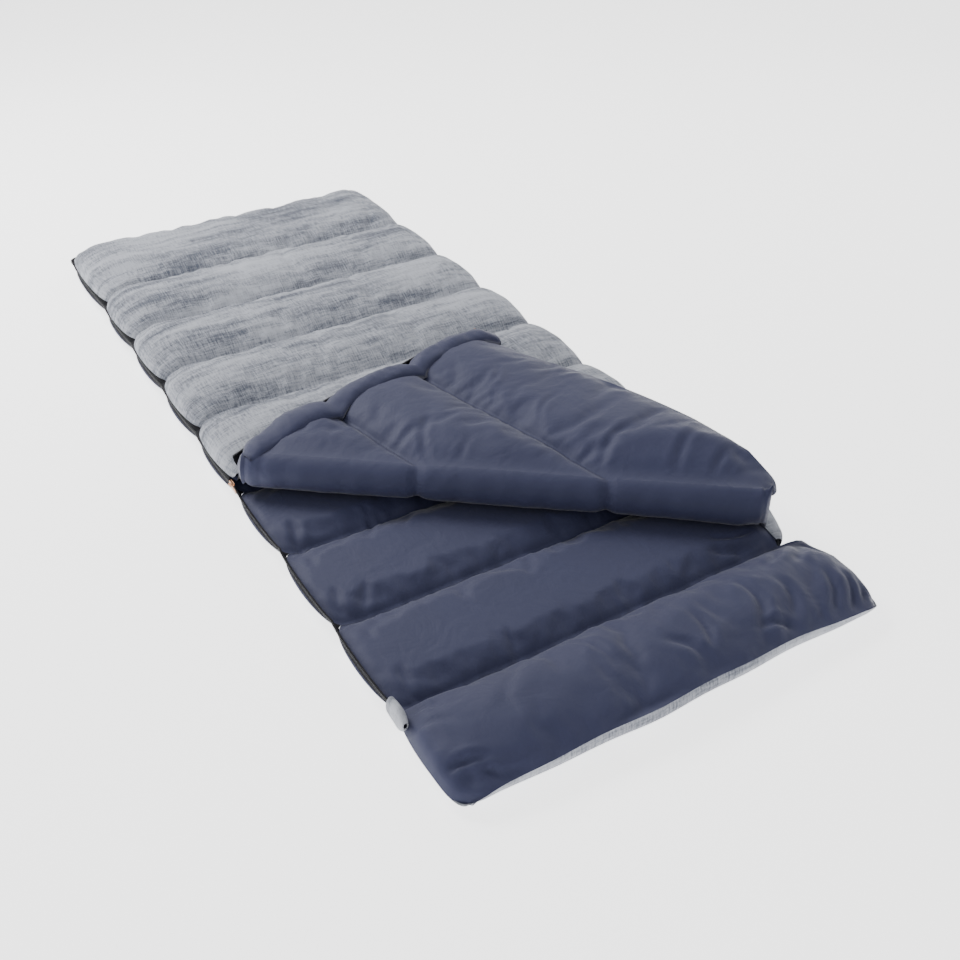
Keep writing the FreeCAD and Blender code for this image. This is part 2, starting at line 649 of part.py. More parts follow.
def slider():
    """Two plates joined by a web between the rows of coil, with flanges and a bridge for the pull."""
    body = new_body("slider_body")
    half, wide = "Sizes.slider_length / 2", "Sizes.slider_height / 2"
    narrow = f"({wide} - Sizes.flange_height / 2)"
    slider_plate(body, "outer_plate", f"-{PLATE_OUTER}")
    web = new_sketch(body, "YZ_Plane", "web", f"-{PLATE_INNER}")
    thin = "Sizes.web_thickness / 2"
    rectangle(web, f"-{half}", f"-{half} + Sizes.web_length", f"-{thin}", thin)
    pad(body, web, f"2 * {PLATE_INNER}")
    slider_plate(body, "inner_plate", PLATE_INNER)
    for side, sign in (("below", "-1"), ("above", "1")):
        for face, start in (("outer", f"-{PLATE_INNER}"), ("inner", f"{PLATE_INNER} - Sizes.flange_depth")):
            flange = new_sketch(body, "YZ_Plane", f"flange_{face}_{side}", start)
            low, high = f"{sign} * ({narrow} - Sizes.flange_height)", f"{sign} * {narrow}"
            rectangle(flange, f"-{half}", half, low, high)
            pad(body, flange, "Sizes.flange_depth")
    bridge = new_sketch(body, "XY_Plane", "bridge", "-Sizes.bridge_width / 2")
    gap, bar, span = "Sizes.bridge_gap", "Sizes.bridge_thickness", "Sizes.bridge_span / 2"
    foot_x, under_x, top_x = f"-{PLATE_OUTER}", f"-({PLATE_OUTER} + {gap})", f"-({PLATE_OUTER} + {gap} + {bar})"
    ends = [(foot_x, f"({span} + {bar})"), (top_x, f"({span} + {bar})"), (top_x, f"-({span} + {bar})")]
    ends += [(foot_x, f"-({span} + {bar})"), (foot_x, f"-{span}"), (under_x, f"-{span}"), (under_x, span)]
    outline(bridge, [*ends, (foot_x, span)])
    pad(body, bridge, "Sizes.bridge_width")
    return place(body, ZIP_X, SLIDER_Y, ZIP_LEVEL)


def pull():
    """The pull: a cross bar under the bridge, two arms beside it and a tab, lying towards the head."""
    body = new_body("pull_tab")
    half, thick = "Sizes.pull_width / 2", "Sizes.pull_thickness"
    gap = "(Sizes.bridge_width / 2 + Sizes.pull_clearance)"
    arm, length = "Sizes.pull_arm", "Sizes.pull_length"
    bar = new_sketch(body, "XY_Plane", "bar", f"-{half}")
    index = bar.addGeometry(Part.Circle(Vector(), Vector(0, 0, 1), value(thick) / 2))
    bar.addConstraint(Sketcher.Constraint("Coincident", index, 3, -1, 1))
    radius = bar.addConstraint(Sketcher.Constraint("Radius", index, value(thick) / 2))
    bar.setExpression(f"Constraints[{radius}]", f"{thick} / 2")
    pad(body, bar, f"2 * {half}")
    plate = new_sketch(body, "YZ_Plane", "plate", f"-{thick} / 2")
    corners = [("0", f"-{half}"), ("0", f"-{gap}"), (f"-{arm}", f"-{gap}"), (f"-{arm}", gap), ("0", gap)]
    corners += [("0", half), (f"-{length} + {half} / 2", half), (f"-{length}", f"{half} / 2")]
    outline(plate, [*corners, (f"-{length}", f"-{half} / 2"), (f"-{length} + {half} / 2", f"-{half}")])
    pad(body, plate, thick)
    return place(body, f"{ZIP_X} - {PLATE_OUTER} - Sizes.bridge_gap / 2", SLIDER_Y, ZIP_LEVEL)


# ---------------------------------------------------------------- draught tubes
def rounded_strip(body, name, width, height, inset, length, subtract=False):
    """A flat-sided oval in the body's XZ plane, its top at zero, carried towards +Y."""
    sketch = new_sketch(body, "XZ_Plane", name)
    half, radius = f"({width} - {height}) / 2", f"({height} / 2 - {inset})"
    middle, reach = -value(height) / 2, value(half)
    size = value(radius)
    for sign, start in ((1, -0.5), (-1, 0.5)):
        circle = Part.Circle(Vector(sign * reach, middle, 0), Vector(0, 0, 1), size)
        sketch.addGeometry(Part.ArcOfCircle(circle, start * math.pi, (start + 1) * math.pi))
    for sign in (1, -1):
        level = middle + sign * size
        sketch.addGeometry(Part.LineSegment(Vector(sign * reach, level, 0), Vector(-sign * reach, level, 0)))
    for arc, end, line, line_end in ((0, 2, 2, 1), (2, 2, 1, 1), (1, 2, 3, 1), (3, 2, 0, 1)):
        sketch.addConstraint(Sketcher.Constraint("Tangent", arc, end, line, line_end))
    sketch.addConstraint(Sketcher.Constraint("Horizontal", 2))
    pin_point(sketch, 0, 3, half, f"-{height} / 2")
    pin_point(sketch, 1, 3, f"-({half})", f"-{height} / 2")
    index = sketch.addConstraint(Sketcher.Constraint("Radius", 0, size))
    sketch.setExpression(f"Constraints[{index}]", radius)
    if subtract:
        pocket(body, sketch, length)
    else:
        pad(body, sketch, length, reverse=True)


def draught_tube(owner, height, start_y, end_y):
    """Sleeve and filling of a draught tube sewn to the lining behind the zip."""
    run, wall = f"{end_y} - {start_y}", "Sizes.tube_wall"
    sleeve = new_body(f"{owner}_draught_tube")
    rounded_strip(sleeve, "outside", "Sizes.tube_width", height, "0", run)
    rounded_strip(sleeve, "inside", "Sizes.tube_width", height, wall, run, subtract=True)
    filling = new_body(f"{owner}_draught_filling")
    rounded_strip(filling, "filling", "Sizes.tube_width", height, f"({wall} + Sizes.batt_clearance)", run)
    return sleeve, filling


# ---------------------------------------------------------------- the whole bag
TUBE_X = f"({LEFT} + Sizes.tube_set_in + Sizes.tube_width / 2)"


def make_base_fittings():
    park = f"({PILLOW_SEAM} - Sizes.slider_length - 2 * Sizes.stop_length)"
    stop = place(top_stop("base_top_stop", -1), ZIP_X, park, ZIP_LEVEL)
    return [*zip_half("base", -1, park), stop, end_box(), garage(), *make_side_fold()]


def make_quilt_fittings():
    start, end = f"({FOLD_START} + Sizes.tube_width)", f"({FOOT} - Sizes.tube_width)"
    tube = draught_tube("quilt", "(Sizes.sleep_gap - Sizes.tube_clearance)", start, end)
    tube = [place(body, TUBE_X, start, QUILT_LEVEL) for body in tube]
    zip_start = f"({FOLD_START} + Sizes.slider_length + Sizes.stop_length)"
    return [*zip_half("quilt", 1, zip_start), end_pin(), *make_fold(), *tube]


def make_flap_fittings():
    start = f"({MOUTH} - Sizes.tube_overhang)"
    tube = draught_tube("flap", "Sizes.tube_height", start, f"({FOLD_START} - Sizes.tube_width)")
    tube = [turn_over(body, TUBE_X, start, QUILT_LEVEL) for body in tube]
    zip_start = f"({MOUTH} + 2 * Sizes.stop_length)"
    stop = turn_over(top_stop("flap_top_stop", 1), ZIP_X, zip_start, ZIP_LEVEL)
    return [*flap_zip_half(zip_start, f"({FOLD_START} - Sizes.stop_length)"), stop, *tube]


def make_all():
    flap = [turn_over(item) for item in make_quilt_part("flap")]
    base = [*make_base(), *make_base_fittings()]
    quilt = [*make_quilt_part("quilt"), *make_quilt_fittings()]
    return [*base, *quilt, *flap, *make_flap_fittings(), slider(), pull()]


def check(parts):
    """Stops the build where any object or sub-part failed."""
    document.recompute()
    failed = [item.Label for item in document.Objects if {"Invalid", "Error"} & set(item.State)]
    empty = [part.Label for part in parts if part.Shape.isNull() or not part.Shape.Solids]
    wrong = [part.Label for part in parts if part.Label not in empty and not part.Shape.isValid()]
    if failed or empty or wrong:
        raise RuntimeError(f"failed {failed}, empty {empty}, not valid {wrong}")


def export(parts):
    os.makedirs("parts", exist_ok=True)
    for old in os.listdir("parts"):
        os.remove(os.path.join("parts", old))
    for part in parts:
        part.Shape.exportStep(os.path.join("parts", f"{part.Label}.step"))
        box = part.Shape.BoundBox
        size = f"{len(part.Shape.Solids)} solids, {part.Shape.Volume / 1000:.2f} cm3"
        corners = (box.XMin, box.XMax, box.YMin, box.YMax, box.ZMin, box.ZMax)
        print(part.Label, size, [round(corner, 1) for corner in corners])


PARTS = make_all()
check(PARTS)
export(PARTS)
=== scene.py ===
import json
import math

import bmesh
import bpy
import numpy as np
from bpy.props import FloatProperty, FloatVectorProperty, IntProperty, PointerProperty
from bpy.types import Operator, Panel, PropertyGroup
from mathutils import Matrix, Vector


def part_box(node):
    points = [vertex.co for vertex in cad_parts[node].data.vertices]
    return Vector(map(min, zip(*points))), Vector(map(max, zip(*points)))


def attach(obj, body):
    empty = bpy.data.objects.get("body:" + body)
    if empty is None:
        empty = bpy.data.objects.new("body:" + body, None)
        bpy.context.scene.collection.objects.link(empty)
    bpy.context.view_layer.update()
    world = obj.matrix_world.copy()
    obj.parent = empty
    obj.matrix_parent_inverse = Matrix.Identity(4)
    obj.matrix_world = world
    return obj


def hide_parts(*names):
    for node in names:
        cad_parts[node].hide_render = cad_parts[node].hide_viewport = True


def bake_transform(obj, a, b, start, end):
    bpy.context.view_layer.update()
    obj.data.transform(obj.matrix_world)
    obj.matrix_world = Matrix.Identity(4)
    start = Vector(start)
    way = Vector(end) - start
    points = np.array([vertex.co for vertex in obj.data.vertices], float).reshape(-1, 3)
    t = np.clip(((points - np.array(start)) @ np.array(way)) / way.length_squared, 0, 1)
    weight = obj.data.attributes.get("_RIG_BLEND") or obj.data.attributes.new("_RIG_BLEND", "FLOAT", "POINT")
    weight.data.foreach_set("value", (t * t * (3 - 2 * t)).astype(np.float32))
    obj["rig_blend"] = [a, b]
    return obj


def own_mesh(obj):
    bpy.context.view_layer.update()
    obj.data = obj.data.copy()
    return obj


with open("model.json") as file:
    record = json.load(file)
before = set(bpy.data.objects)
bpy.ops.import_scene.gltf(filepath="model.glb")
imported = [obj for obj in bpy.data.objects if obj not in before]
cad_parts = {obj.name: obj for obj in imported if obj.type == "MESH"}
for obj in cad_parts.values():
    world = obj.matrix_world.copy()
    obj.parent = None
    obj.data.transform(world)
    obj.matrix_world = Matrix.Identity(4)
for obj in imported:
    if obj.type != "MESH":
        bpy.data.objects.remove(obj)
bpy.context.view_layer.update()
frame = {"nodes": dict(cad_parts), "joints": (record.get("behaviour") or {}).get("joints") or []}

bl_info = {
    "name": "Rectangular sleeping bag",
    "version": (1, 0, 0),
    "blender": (4, 5, 0),
    "location": "View3D > Sidebar > Sleeping bag",
    "description": "Builds the padded covers, zip, stitching and cloth of a two-layer sleeping bag",
    "category": "Object",
}

JOINTS = {joint["name"]: joint for joint in frame["joints"]}

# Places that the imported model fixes, in metres.
ZIP_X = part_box("base_lining")[0].x
HEAD_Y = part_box("base_shell")[0].y
FOOT_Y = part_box("base_lining")[1].y
MOUTH_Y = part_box("side_fold_shell")[0].y
SIDE_X, _, SIDE_Z = JOINTS["quilt_open"]["pos_m"]
SIDE_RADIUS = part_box("side_fold_shell")[1].z / 2
PILLOW_X = SIDE_X + SIDE_RADIUS
FOLD_PIVOT = Vector(JOINTS["flap_fold"]["pos_m"])
FOLD_ALONG = Vector(JOINTS["flap_fold"]["axis"])
FOLD_OUT = Vector((FOLD_ALONG.y, -FOLD_ALONG.x, 0))
COIL_X = (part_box("base_top_stop")[0].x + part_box("base_top_stop")[1].x) / 2
COIL_Z = SIDE_Z

# The quilted channels run across the bag, at one pitch from the pillow seam to the foot channel.
PITCH = (MOUTH_Y - HEAD_Y) - 0.001
PILLOW_SEAM = HEAD_Y + PITCH
INNER_SEAMS = [PILLOW_SEAM + PITCH * k for k in range(1, 8)]
BASE_LINES = np.array([HEAD_Y, PILLOW_SEAM, *INNER_SEAMS, FOOT_Y])
QUILT_LINES = np.array([MOUTH_Y, *INNER_SEAMS, FOOT_Y])


# Length, width and height of one stitch and of one turn of the coil.
STITCH = (0.0034, 0.0011, 0.0009)
COIL_TURN = (0.0052, 0.0019, 0.0030)
# How much of its rest height the flap keeps once it is closed.
FLAP_KEEP = 0.60
CLOTH_FINISH = {"shell": "heather_shell_cloth", "lining": "navy_lining_cloth"}

# ---------------------------------------------------------------- sizes a user would change


class BagSizes(PropertyGroup):
    """Puff, seam and edge sizes of the padded covers."""

    base_crown: FloatProperty(
        name="Base crown",
        description="Height of the base lining in mid channel",
        default=0.040,
        unit="LENGTH",
    )
    pillow_crown: FloatProperty(
        name="Pillow crown",
        description="Height of the pillow panel in its middle",
        default=0.060,
        unit="LENGTH",
    )
    quilt_crown: FloatProperty(
        name="Quilt crown",
        description="Height of the quilt shell in mid channel",
        default=0.0880,
        unit="LENGTH",
    )
    quilt_under: FloatProperty(
        name="Quilt underside",
        description="Height of the quilt lining in mid channel",
        default=0.048,
        unit="LENGTH",
    )
    seam_depth: FloatProperty(
        name="Seam depth",
        description="How far a quilting seam pulls the cloth in",
        default=0.020,
        unit="LENGTH",
    )
    base_rim: FloatProperty(
        name="Base rim",
        description="Height of the sewn edge of the base",
        default=0.026,
        unit="LENGTH",
    )
    quilt_rim: FloatProperty(
        name="Quilt rim",
        description="Height of the sewn edge of the quilt, zip closed",
        default=0.052,
        unit="LENGTH",
    )
    edge_round: FloatProperty(
        name="Edge rounding",
        description="Width over which the padding thins to a sewn edge",
        default=0.065,
        unit="LENGTH",
    )
    edge_wave: FloatProperty(
        name="Edge wave",
        description="How far each channel bulges past its seams at the zip",
        default=0.024,
        unit="LENGTH",
    )
    quilt_lift: FloatProperty(
        name="Quilt lift",
        description="Extra height of the quilt's channels where no flap lies on them",
        default=0.009,
        unit="LENGTH",
    )
    corner: FloatProperty(
        name="Head corners",
        description="Radius of the two corners of the head edge",
        default=0.038,
        unit="LENGTH",
    )
    cloth_step: FloatProperty(
        name="Cloth step",
        description="Spacing of the cloth's vertices while it is blown up",
        default=0.0105,
        unit="LENGTH",
    )
    stitch_pitch: FloatProperty(
        name="Stitch pitch",
        description="Spacing of the stitches along a seam",
        default=0.0042,
        unit="LENGTH",
    )
    tooth_pitch: FloatProperty(
        name="Coil pitch",
        description="Spacing of the turns of the zip's coil",
        default=0.0030,
        unit="LENGTH",
    )


class BagColours(PropertyGroup):
    """Colours of the cloths, thread, zip and metal."""

    lining: FloatVectorProperty(
        name="Lining",
        description="Navy lining cloth",
        default=(0.029, 0.033, 0.079),
        subtype="COLOR",
        size=3,
    )
    shell_light: FloatVectorProperty(
        name="Shell, light yarn",
        description="Pale yarn of the heather shell",
        default=(0.43, 0.445, 0.49),
        subtype="COLOR",
        size=3,
    )
    shell_dark: FloatVectorProperty(
        name="Shell, dark yarn",
        description="Slate yarn of the heather shell",
        default=(0.075, 0.085, 0.115),
        subtype="COLOR",
        size=3,
    )
    thread: FloatVectorProperty(
        name="Thread",
        description="Quilting thread",
        default=(0.030, 0.034, 0.055),
        subtype="COLOR",
        size=3,
    )
    tape: FloatVectorProperty(
        name="Zip tape",
        description="Woven zip tape",
        default=(0.010, 0.010, 0.013),
        subtype="COLOR",
        size=3,
    )
    coil: FloatVectorProperty(
        name="Zip coil",
        description="Nylon coil of the zip",
        default=(0.016, 0.016, 0.019),
        subtype="COLOR",
        size=3,
    )
    metal: FloatVectorProperty(
        name="Zip metal",
        description="Coppery finish of the slider and pull",
        default=(0.58, 0.33, 0.21),
        subtype="COLOR",
        size=3,
    )
    floor: FloatVectorProperty(
        name="Floor",
        description="Plain pale floor",
        default=(0.80, 0.80, 0.80),
        subtype="COLOR",
        size=3,
    )


class BagStage(PropertyGroup):
    """Where the camera stands and how bright the lights are."""

    azimuth: FloatProperty(
        name="Azimuth",
        description="Turn of the camera about the bag",
        default=math.radians(-31.0908),
        subtype="ANGLE",
    )
    elevation: FloatProperty(
        name="Elevation",
        description="Height angle of the camera",
        default=math.radians(35.9605),
        subtype="ANGLE",
    )
    distance: FloatProperty(
        name="Distance",
        description="Camera to the point it looks at",
        default=2.2066,
        unit="LENGTH",
    )
    lens: FloatProperty(name="Lens", description="Focal length in millimetres", default=42.40)
    key: FloatProperty(name="Key light", description="Power of the soft key light in watts", default=105.0)
    fill: FloatProperty(name="Fill light", description="Power of the fill light in watts", default=16.0)
    sky: FloatProperty(
        name="Surroundings",
        description="Strength of the plain white surroundings",
        default=0.60,
    )
    glow: FloatProperty(
        name="Floor glow",
        description="How strongly the floor shines, as a lit white sweep does",
        default=2.2,
    )
    seed: IntProperty(name="Seed", description="Seed of every uneven puff and crease", default=7)


def sizes():
    return bpy.context.scene.bag_sizes


def colours():
    return bpy.context.scene.bag_colours


# ---------------------------------------------------------------- shape of the padding


def smooth(t):
    """0 below 0, 1 above 1 and an even ease between."""
    t = np.clip(t, 0.0, 1.0)
    return t * t * (3 - 2 * t)


def ease(inside, width):
    """Quarter-round rise of the padding from a sewn edge, 0 at the edge and 1 past width."""
    t = np.clip(inside / width, 0.0, 1.0)
    return np.sqrt(1 - (1 - t) ** 2)


def lanes(y, lines):
    """The channel that each y is in, and how far across it from 0 to 1."""
    k = np.clip(np.searchsorted(lines, y, side="right") - 1, 0, len(lines) - 2)
    return k, np.clip((y - lines[k]) / (lines[k + 1] - lines[k]), 0.0, 1.0)


def puff(across):
    """Section of a filled channel: 0 at both seams, full in the middle, steep beside the seams."""
    return np.clip(1 - (2 * across - 1) ** 2, 0.0, 1.0) ** 0.52


def uneven(x, y, seed, scale):
    """A smooth uneven field in about -1..1, from a few turned waves."""
    rng = np.random.default_rng(seed)
    total = np.zeros_like(x)
    for _ in range(7):
        turn = rng.uniform(0, math.tau)
        wave = rng.uniform(0.55, 1.7) / scale
        along = x * math.cos(turn) + y * math.sin(turn)
        total += np.sin(math.tau * wave * along + rng.uniform(0, math.tau))
    return total / 3.6


def channel_height(y, lines, levels, crowns):
    """Cloth height along y: levels at the seam lines and crowns between them."""
    k, across = lanes(y, lines)
    ground = np.interp(y, lines, levels)
    return ground + (np.asarray(crowns)[k] - ground) * puff(across)


def fold_side(x, y):
    """Distance past the flap's fold line, positive on the flap."""
    return (x - FOLD_PIVOT.x) * FOLD_OUT.x + (y - FOLD_PIVOT.y) * FOLD_OUT.y


def fold_run(x, y):
    """Distance along the flap's fold line from the zip edge."""
    return (x - FOLD_PIVOT.x) * FOLD_ALONG.x + (y - FOLD_PIVOT.y) * FOLD_ALONG.y


FOLD_END = fold_run(SIDE_X, FOLD_PIVOT.y + (SIDE_X - FOLD_PIVOT.x) * FOLD_ALONG.y / FOLD_ALONG.x)


# Heights of the flap's sewn edge, closed: along the zip from the fold, and along the mouth from the zip.
ZIP_RIM = ([0, 0.05, 0.10, 0.20, 0.35, 0.50, 0.64], [0.086, 0.082, 0.075, 0.064, 0.060, 0.060, 0.064])
MOUTH_RIM = ([0, 0.10, 0.30, 0.55, 0.68, 0.766], [0.064, 0.055, 0.044, 0.034, 0.036, 0.070])


def quilt_rim(x, y):
    """Height of the sewn edge with the flap closed. The flap's edge droops at rest, so it is high here."""
    from_zip, from_mouth = np.maximum(x - ZIP_X, 1e-6), np.maximum(y - MOUTH_Y, 1e-6)
    along_zip = FOLD_PIVOT.y - y
    zip_rim = np.interp(along_zip, *ZIP_RIM)
    mouth_rim = np.interp(from_zip, *MOUTH_RIM)
    flap = (zip_rim * from_mouth + mouth_rim * from_zip) / (from_zip + from_mouth)
    to_side = smooth((x - SIDE_X + 0.09) / 0.09)
    wave = 0.010 * (puff(lanes(y, QUILT_LINES)[1]) - 0.5) * (1 - smooth((x - ZIP_X) / 0.06))
    quilt = sizes().quilt_rim + wave
    quilt = quilt + (np.minimum(quilt + 0.004, side_top(y)) - quilt) * to_side
    return np.where(fold_side(x, y) > 0, flap, quilt)


def side_top(y):
    """Highest that the side fold reaches: it sinks to the pillow panel at the mouth."""
    return np.interp(y, [MOUTH_Y, MOUTH_Y + 0.035, MOUTH_Y + 0.14], [0.030, 0.038, 0.110])


def under_flap(x, y):
    """1 where the folded-back flap lies on the quilt, easing to 0 outside it."""
    past = fold_side(x, y)
    far_x, far_y = x - 2 * past * FOLD_OUT.x, y - 2 * past * FOLD_OUT.y
    return smooth((far_x - ZIP_X + 0.05) / 0.05) * smooth((far_y - MOUTH_Y + 0.05) / 0.05)


def quilt_sheet(x, y, side):
    """Height of the quilt's cloth with the flap closed: side 1 is the shell and side -1 the lining."""
    size = sizes()
    rim = quilt_rim(x, y)
    past = fold_side(x, y)
    channels = len(QUILT_LINES) - 1
    if side > 0:
        pulled_in = np.array([1.0] * (channels - 1) + [0.5, 0.6])
        levels = size.quilt_crown - size.seam_depth * pulled_in
        z = channel_height(y, QUILT_LINES, levels, [size.quilt_crown] * channels)
        z = z + size.quilt_lift * puff(lanes(y, QUILT_LINES)[1]) * (1 - under_flap(x, y)) * (past < 0)
    else:
        level = size.quilt_under + size.seam_depth * 0.75
        z = channel_height(y, QUILT_LINES, [level] * (channels + 1), [size.quilt_under] * channels)
        swell = smooth(past / 0.10) * (0.008 + 0.024 * np.exp(-(((x - 0.24) / 0.20) ** 2)))
        near_fold = 1 - smooth(np.where(past > 0, past / 0.11, -past / 0.04))
        at_fold = 0.055 + 0.15 * (z - 0.048)
        z = z - swell
        z = z + (at_fold - z) * near_fold
    mouth_round = np.where(past > 0, 0.030, size.edge_round)
    hem = ease(x - ZIP_X, size.edge_round) * ease(y - MOUTH_Y, mouth_round)
    hem = hem * ease(FOOT_Y - y, size.edge_round)
    to_tip = 1 - smooth((y - MOUTH_Y - 0.05) / 0.10)
    hem = hem * (1 + (ease(SIDE_X - x, 0.05) - 1) * to_tip)
    return rim + (z - rim) * hem


def base_sheet(x, y):
    """Height of the base lining, pillow panel included."""
    size = sizes()
    levels = [size.base_rim, *([size.base_crown - size.seam_depth] * (len(BASE_LINES) - 2)), size.base_rim]
    crowns = [size.pillow_crown] + [size.base_crown] * (len(BASE_LINES) - 2)
    z = channel_height(y, BASE_LINES, levels, crowns)
    pillow = 1 - smooth((y - PILLOW_SEAM + 0.012) / 0.012)
    right = 1 + (ease(PILLOW_X - x, size.edge_round) - 1) * pillow
    hem = ease(x - ZIP_X, size.edge_round) * ease(y - HEAD_Y, size.edge_round)
    hem = hem * ease(FOOT_Y - y, size.edge_round) * right
    rim = base_rim(x, y)
    return rim + (z - rim) * hem


def base_rim(x, y):
    """Height of the base's sewn edge: dipping at the seams, and higher in the middle of the head edge."""
    size = sizes()
    middle = np.clip((x - ZIP_X) / (PILLOW_X - ZIP_X), 0, 1)
    lift = 0.021 * np.sin(math.pi * middle) ** 0.7
    lift = lift - 0.012 * (1 - ease(np.minimum(middle, 1 - middle), 0.08))
    dip = 0.005 * (puff(lanes(y, BASE_LINES)[1]) - 0.6)
    head = 1 - smooth((y - HEAD_Y) / 0.10)
    return size.base_rim + lift * head + dip * (1 - head)


def right_edge(y):
    """Where the base ends on the right: at the side fold, and further out beside the pillow panel."""
    return SIDE_X + (PILLOW_X - SIDE_X) * (1 - smooth((y - PILLOW_SEAM + 0.014) / 0.014))


def edge_bulge(y, lines, wave):
    """How far a channel's end bulges out past the straight sewn edge."""
    return wave * (puff(lanes(y, lines)[1]) - 0.45)


def lay_out(x, y, lines, wave):
    """Moves flat cloth points in plan: bulged channel ends at the zip and a round foot corner."""
    bulge = edge_bulge(y, lines, wave)
    x, y = round_corner(x, y, ZIP_X, FOOT_Y, 1, -1, 0.022)
    fade = (1 - smooth((x - ZIP_X) / 0.09)) * smooth((FOOT_Y - y) / 0.08 + 0.2)
    return x - bulge * fade, y


def round_corner(x, y, corner_x, corner_y, way_x, way_y, radius):
    """Pulls the sheet in to a rounded corner. The ways are 1 or -1, from the corner into the sheet."""
    a = radius - (x - corner_x) * way_x
    b = radius - (y - corner_y) * way_y
    near = (a > 0) & (b > 0)
    shrink = np.where(near, np.maximum(a, b) / np.maximum(np.hypot(a, b), 1e-9), 1.0)
    x = np.where(near, corner_x + way_x * (radius - a * shrink), x)
    return x, np.where(near, corner_y + way_y * (radius - b * shrink), y)


def round_head(x, y):
    """Rounds the two corners of the head edge and curves that edge a little."""
    x, y = round_corner(x, y, ZIP_X, HEAD_Y, 1, 1, sizes().corner)
    x, y = round_corner(x, y, PILLOW_X, HEAD_Y, -1, 1, sizes().corner)
    run = (x - ZIP_X) / (PILLOW_X - ZIP_X)
    wavy = 0.004 + 0.003 * np.sin(math.tau * run * 1.6 + 0.5) + 0.0015 * np.sin(math.tau * run * 4.3)
    return x, y + wavy * (1 - smooth((y - HEAD_Y) / 0.10))


# ---------------------------------------------------------------- cloth as meshes


def stations(low, high, step, stops=()):
    """Even stations from low to high that also fall on every stop."""
    marks = [low, *[s for s in stops if low + 1e-6 < s < high - 1e-6], high]
    found = [low]
    for a, b in zip(marks, marks[1:]):
        count = max(1, round((b - a) / step))
        found += [a + (b - a) * (i + 1) / count for i in range(count)]
    return np.array(found)


def flat_cloth(name, xs, ys):
    """A flat sheet with a vertex at every crossing of xs and ys, remembering its flat place."""
    bm = bmesh.new()
    bmesh.ops.create_grid(bm, x_segments=len(xs) - 1, y_segments=len(ys) - 1, size=1.0)
    memory = bm.verts.layers.float_vector.new("cloth")
    for v in bm.verts:
        v.co.x = xs[round((v.co.x + 1) / 2 * (len(xs) - 1))]
        v.co.y = ys[round((v.co.y + 1) / 2 * (len(ys) - 1))]
        v[memory] = v.co
    return as_object(name, bm)


def as_object(name, bm):
    """Turns the bmesh into an object in the scene."""
    mesh = bpy.data.meshes.new(name)
    bm.to_mesh(mesh)
    bm.free()
    obj = bpy.data.objects.new(name, mesh)
    bpy.context.scene.collection.objects.link(obj)
    return obj


def places(obj):
    co = np.empty(len(obj.data.vertices) * 3)
    obj.data.vertices.foreach_get("co", co)
    return co.reshape(-1, 3)


def move_to(obj, co):
    obj.data.vertices.foreach_set("co", np.asarray(co, dtype=float).ravel())
    obj.data.update()


def cloth_places(obj):
    """The flat place of every vertex."""
    layer = obj.data.attributes["cloth"]
    co = np.empty(len(layer.data) * 3)
    layer.data.foreach_get("vector", co)
    return co.reshape(-1, 3)


def lay_flat_at(obj, flat):
    """Changes the flat place that every vertex remembers."""
    obj.data.attributes["cloth"].data.foreach_set("vector", flat.ravel().astype(np.float32))


def sew_shut(obj, capped):
    """Joins the edges that meet, closes the open ends if capped, and turns every face outward."""
    bm = bmesh.new()
    bm.from_mesh(obj.data)
    bmesh.ops.remove_doubles(bm, verts=bm.verts[:], dist=1e-6)
    if capped:
        bmesh.ops.holes_fill(bm, edges=[e for e in bm.edges if e.is_boundary], sides=0)
    bmesh.ops.recalc_face_normals(bm, faces=bm.faces[:])
    bm.to_mesh(obj.data)
    bm.free()


def wear(obj, cloth):
    """Smooth shading, the cloth's own map and its finish: the lining or the shell."""
    shade_smooth(obj)
    cloth_map(obj)
    dress(obj, finish(CLOTH_FINISH[cloth]))


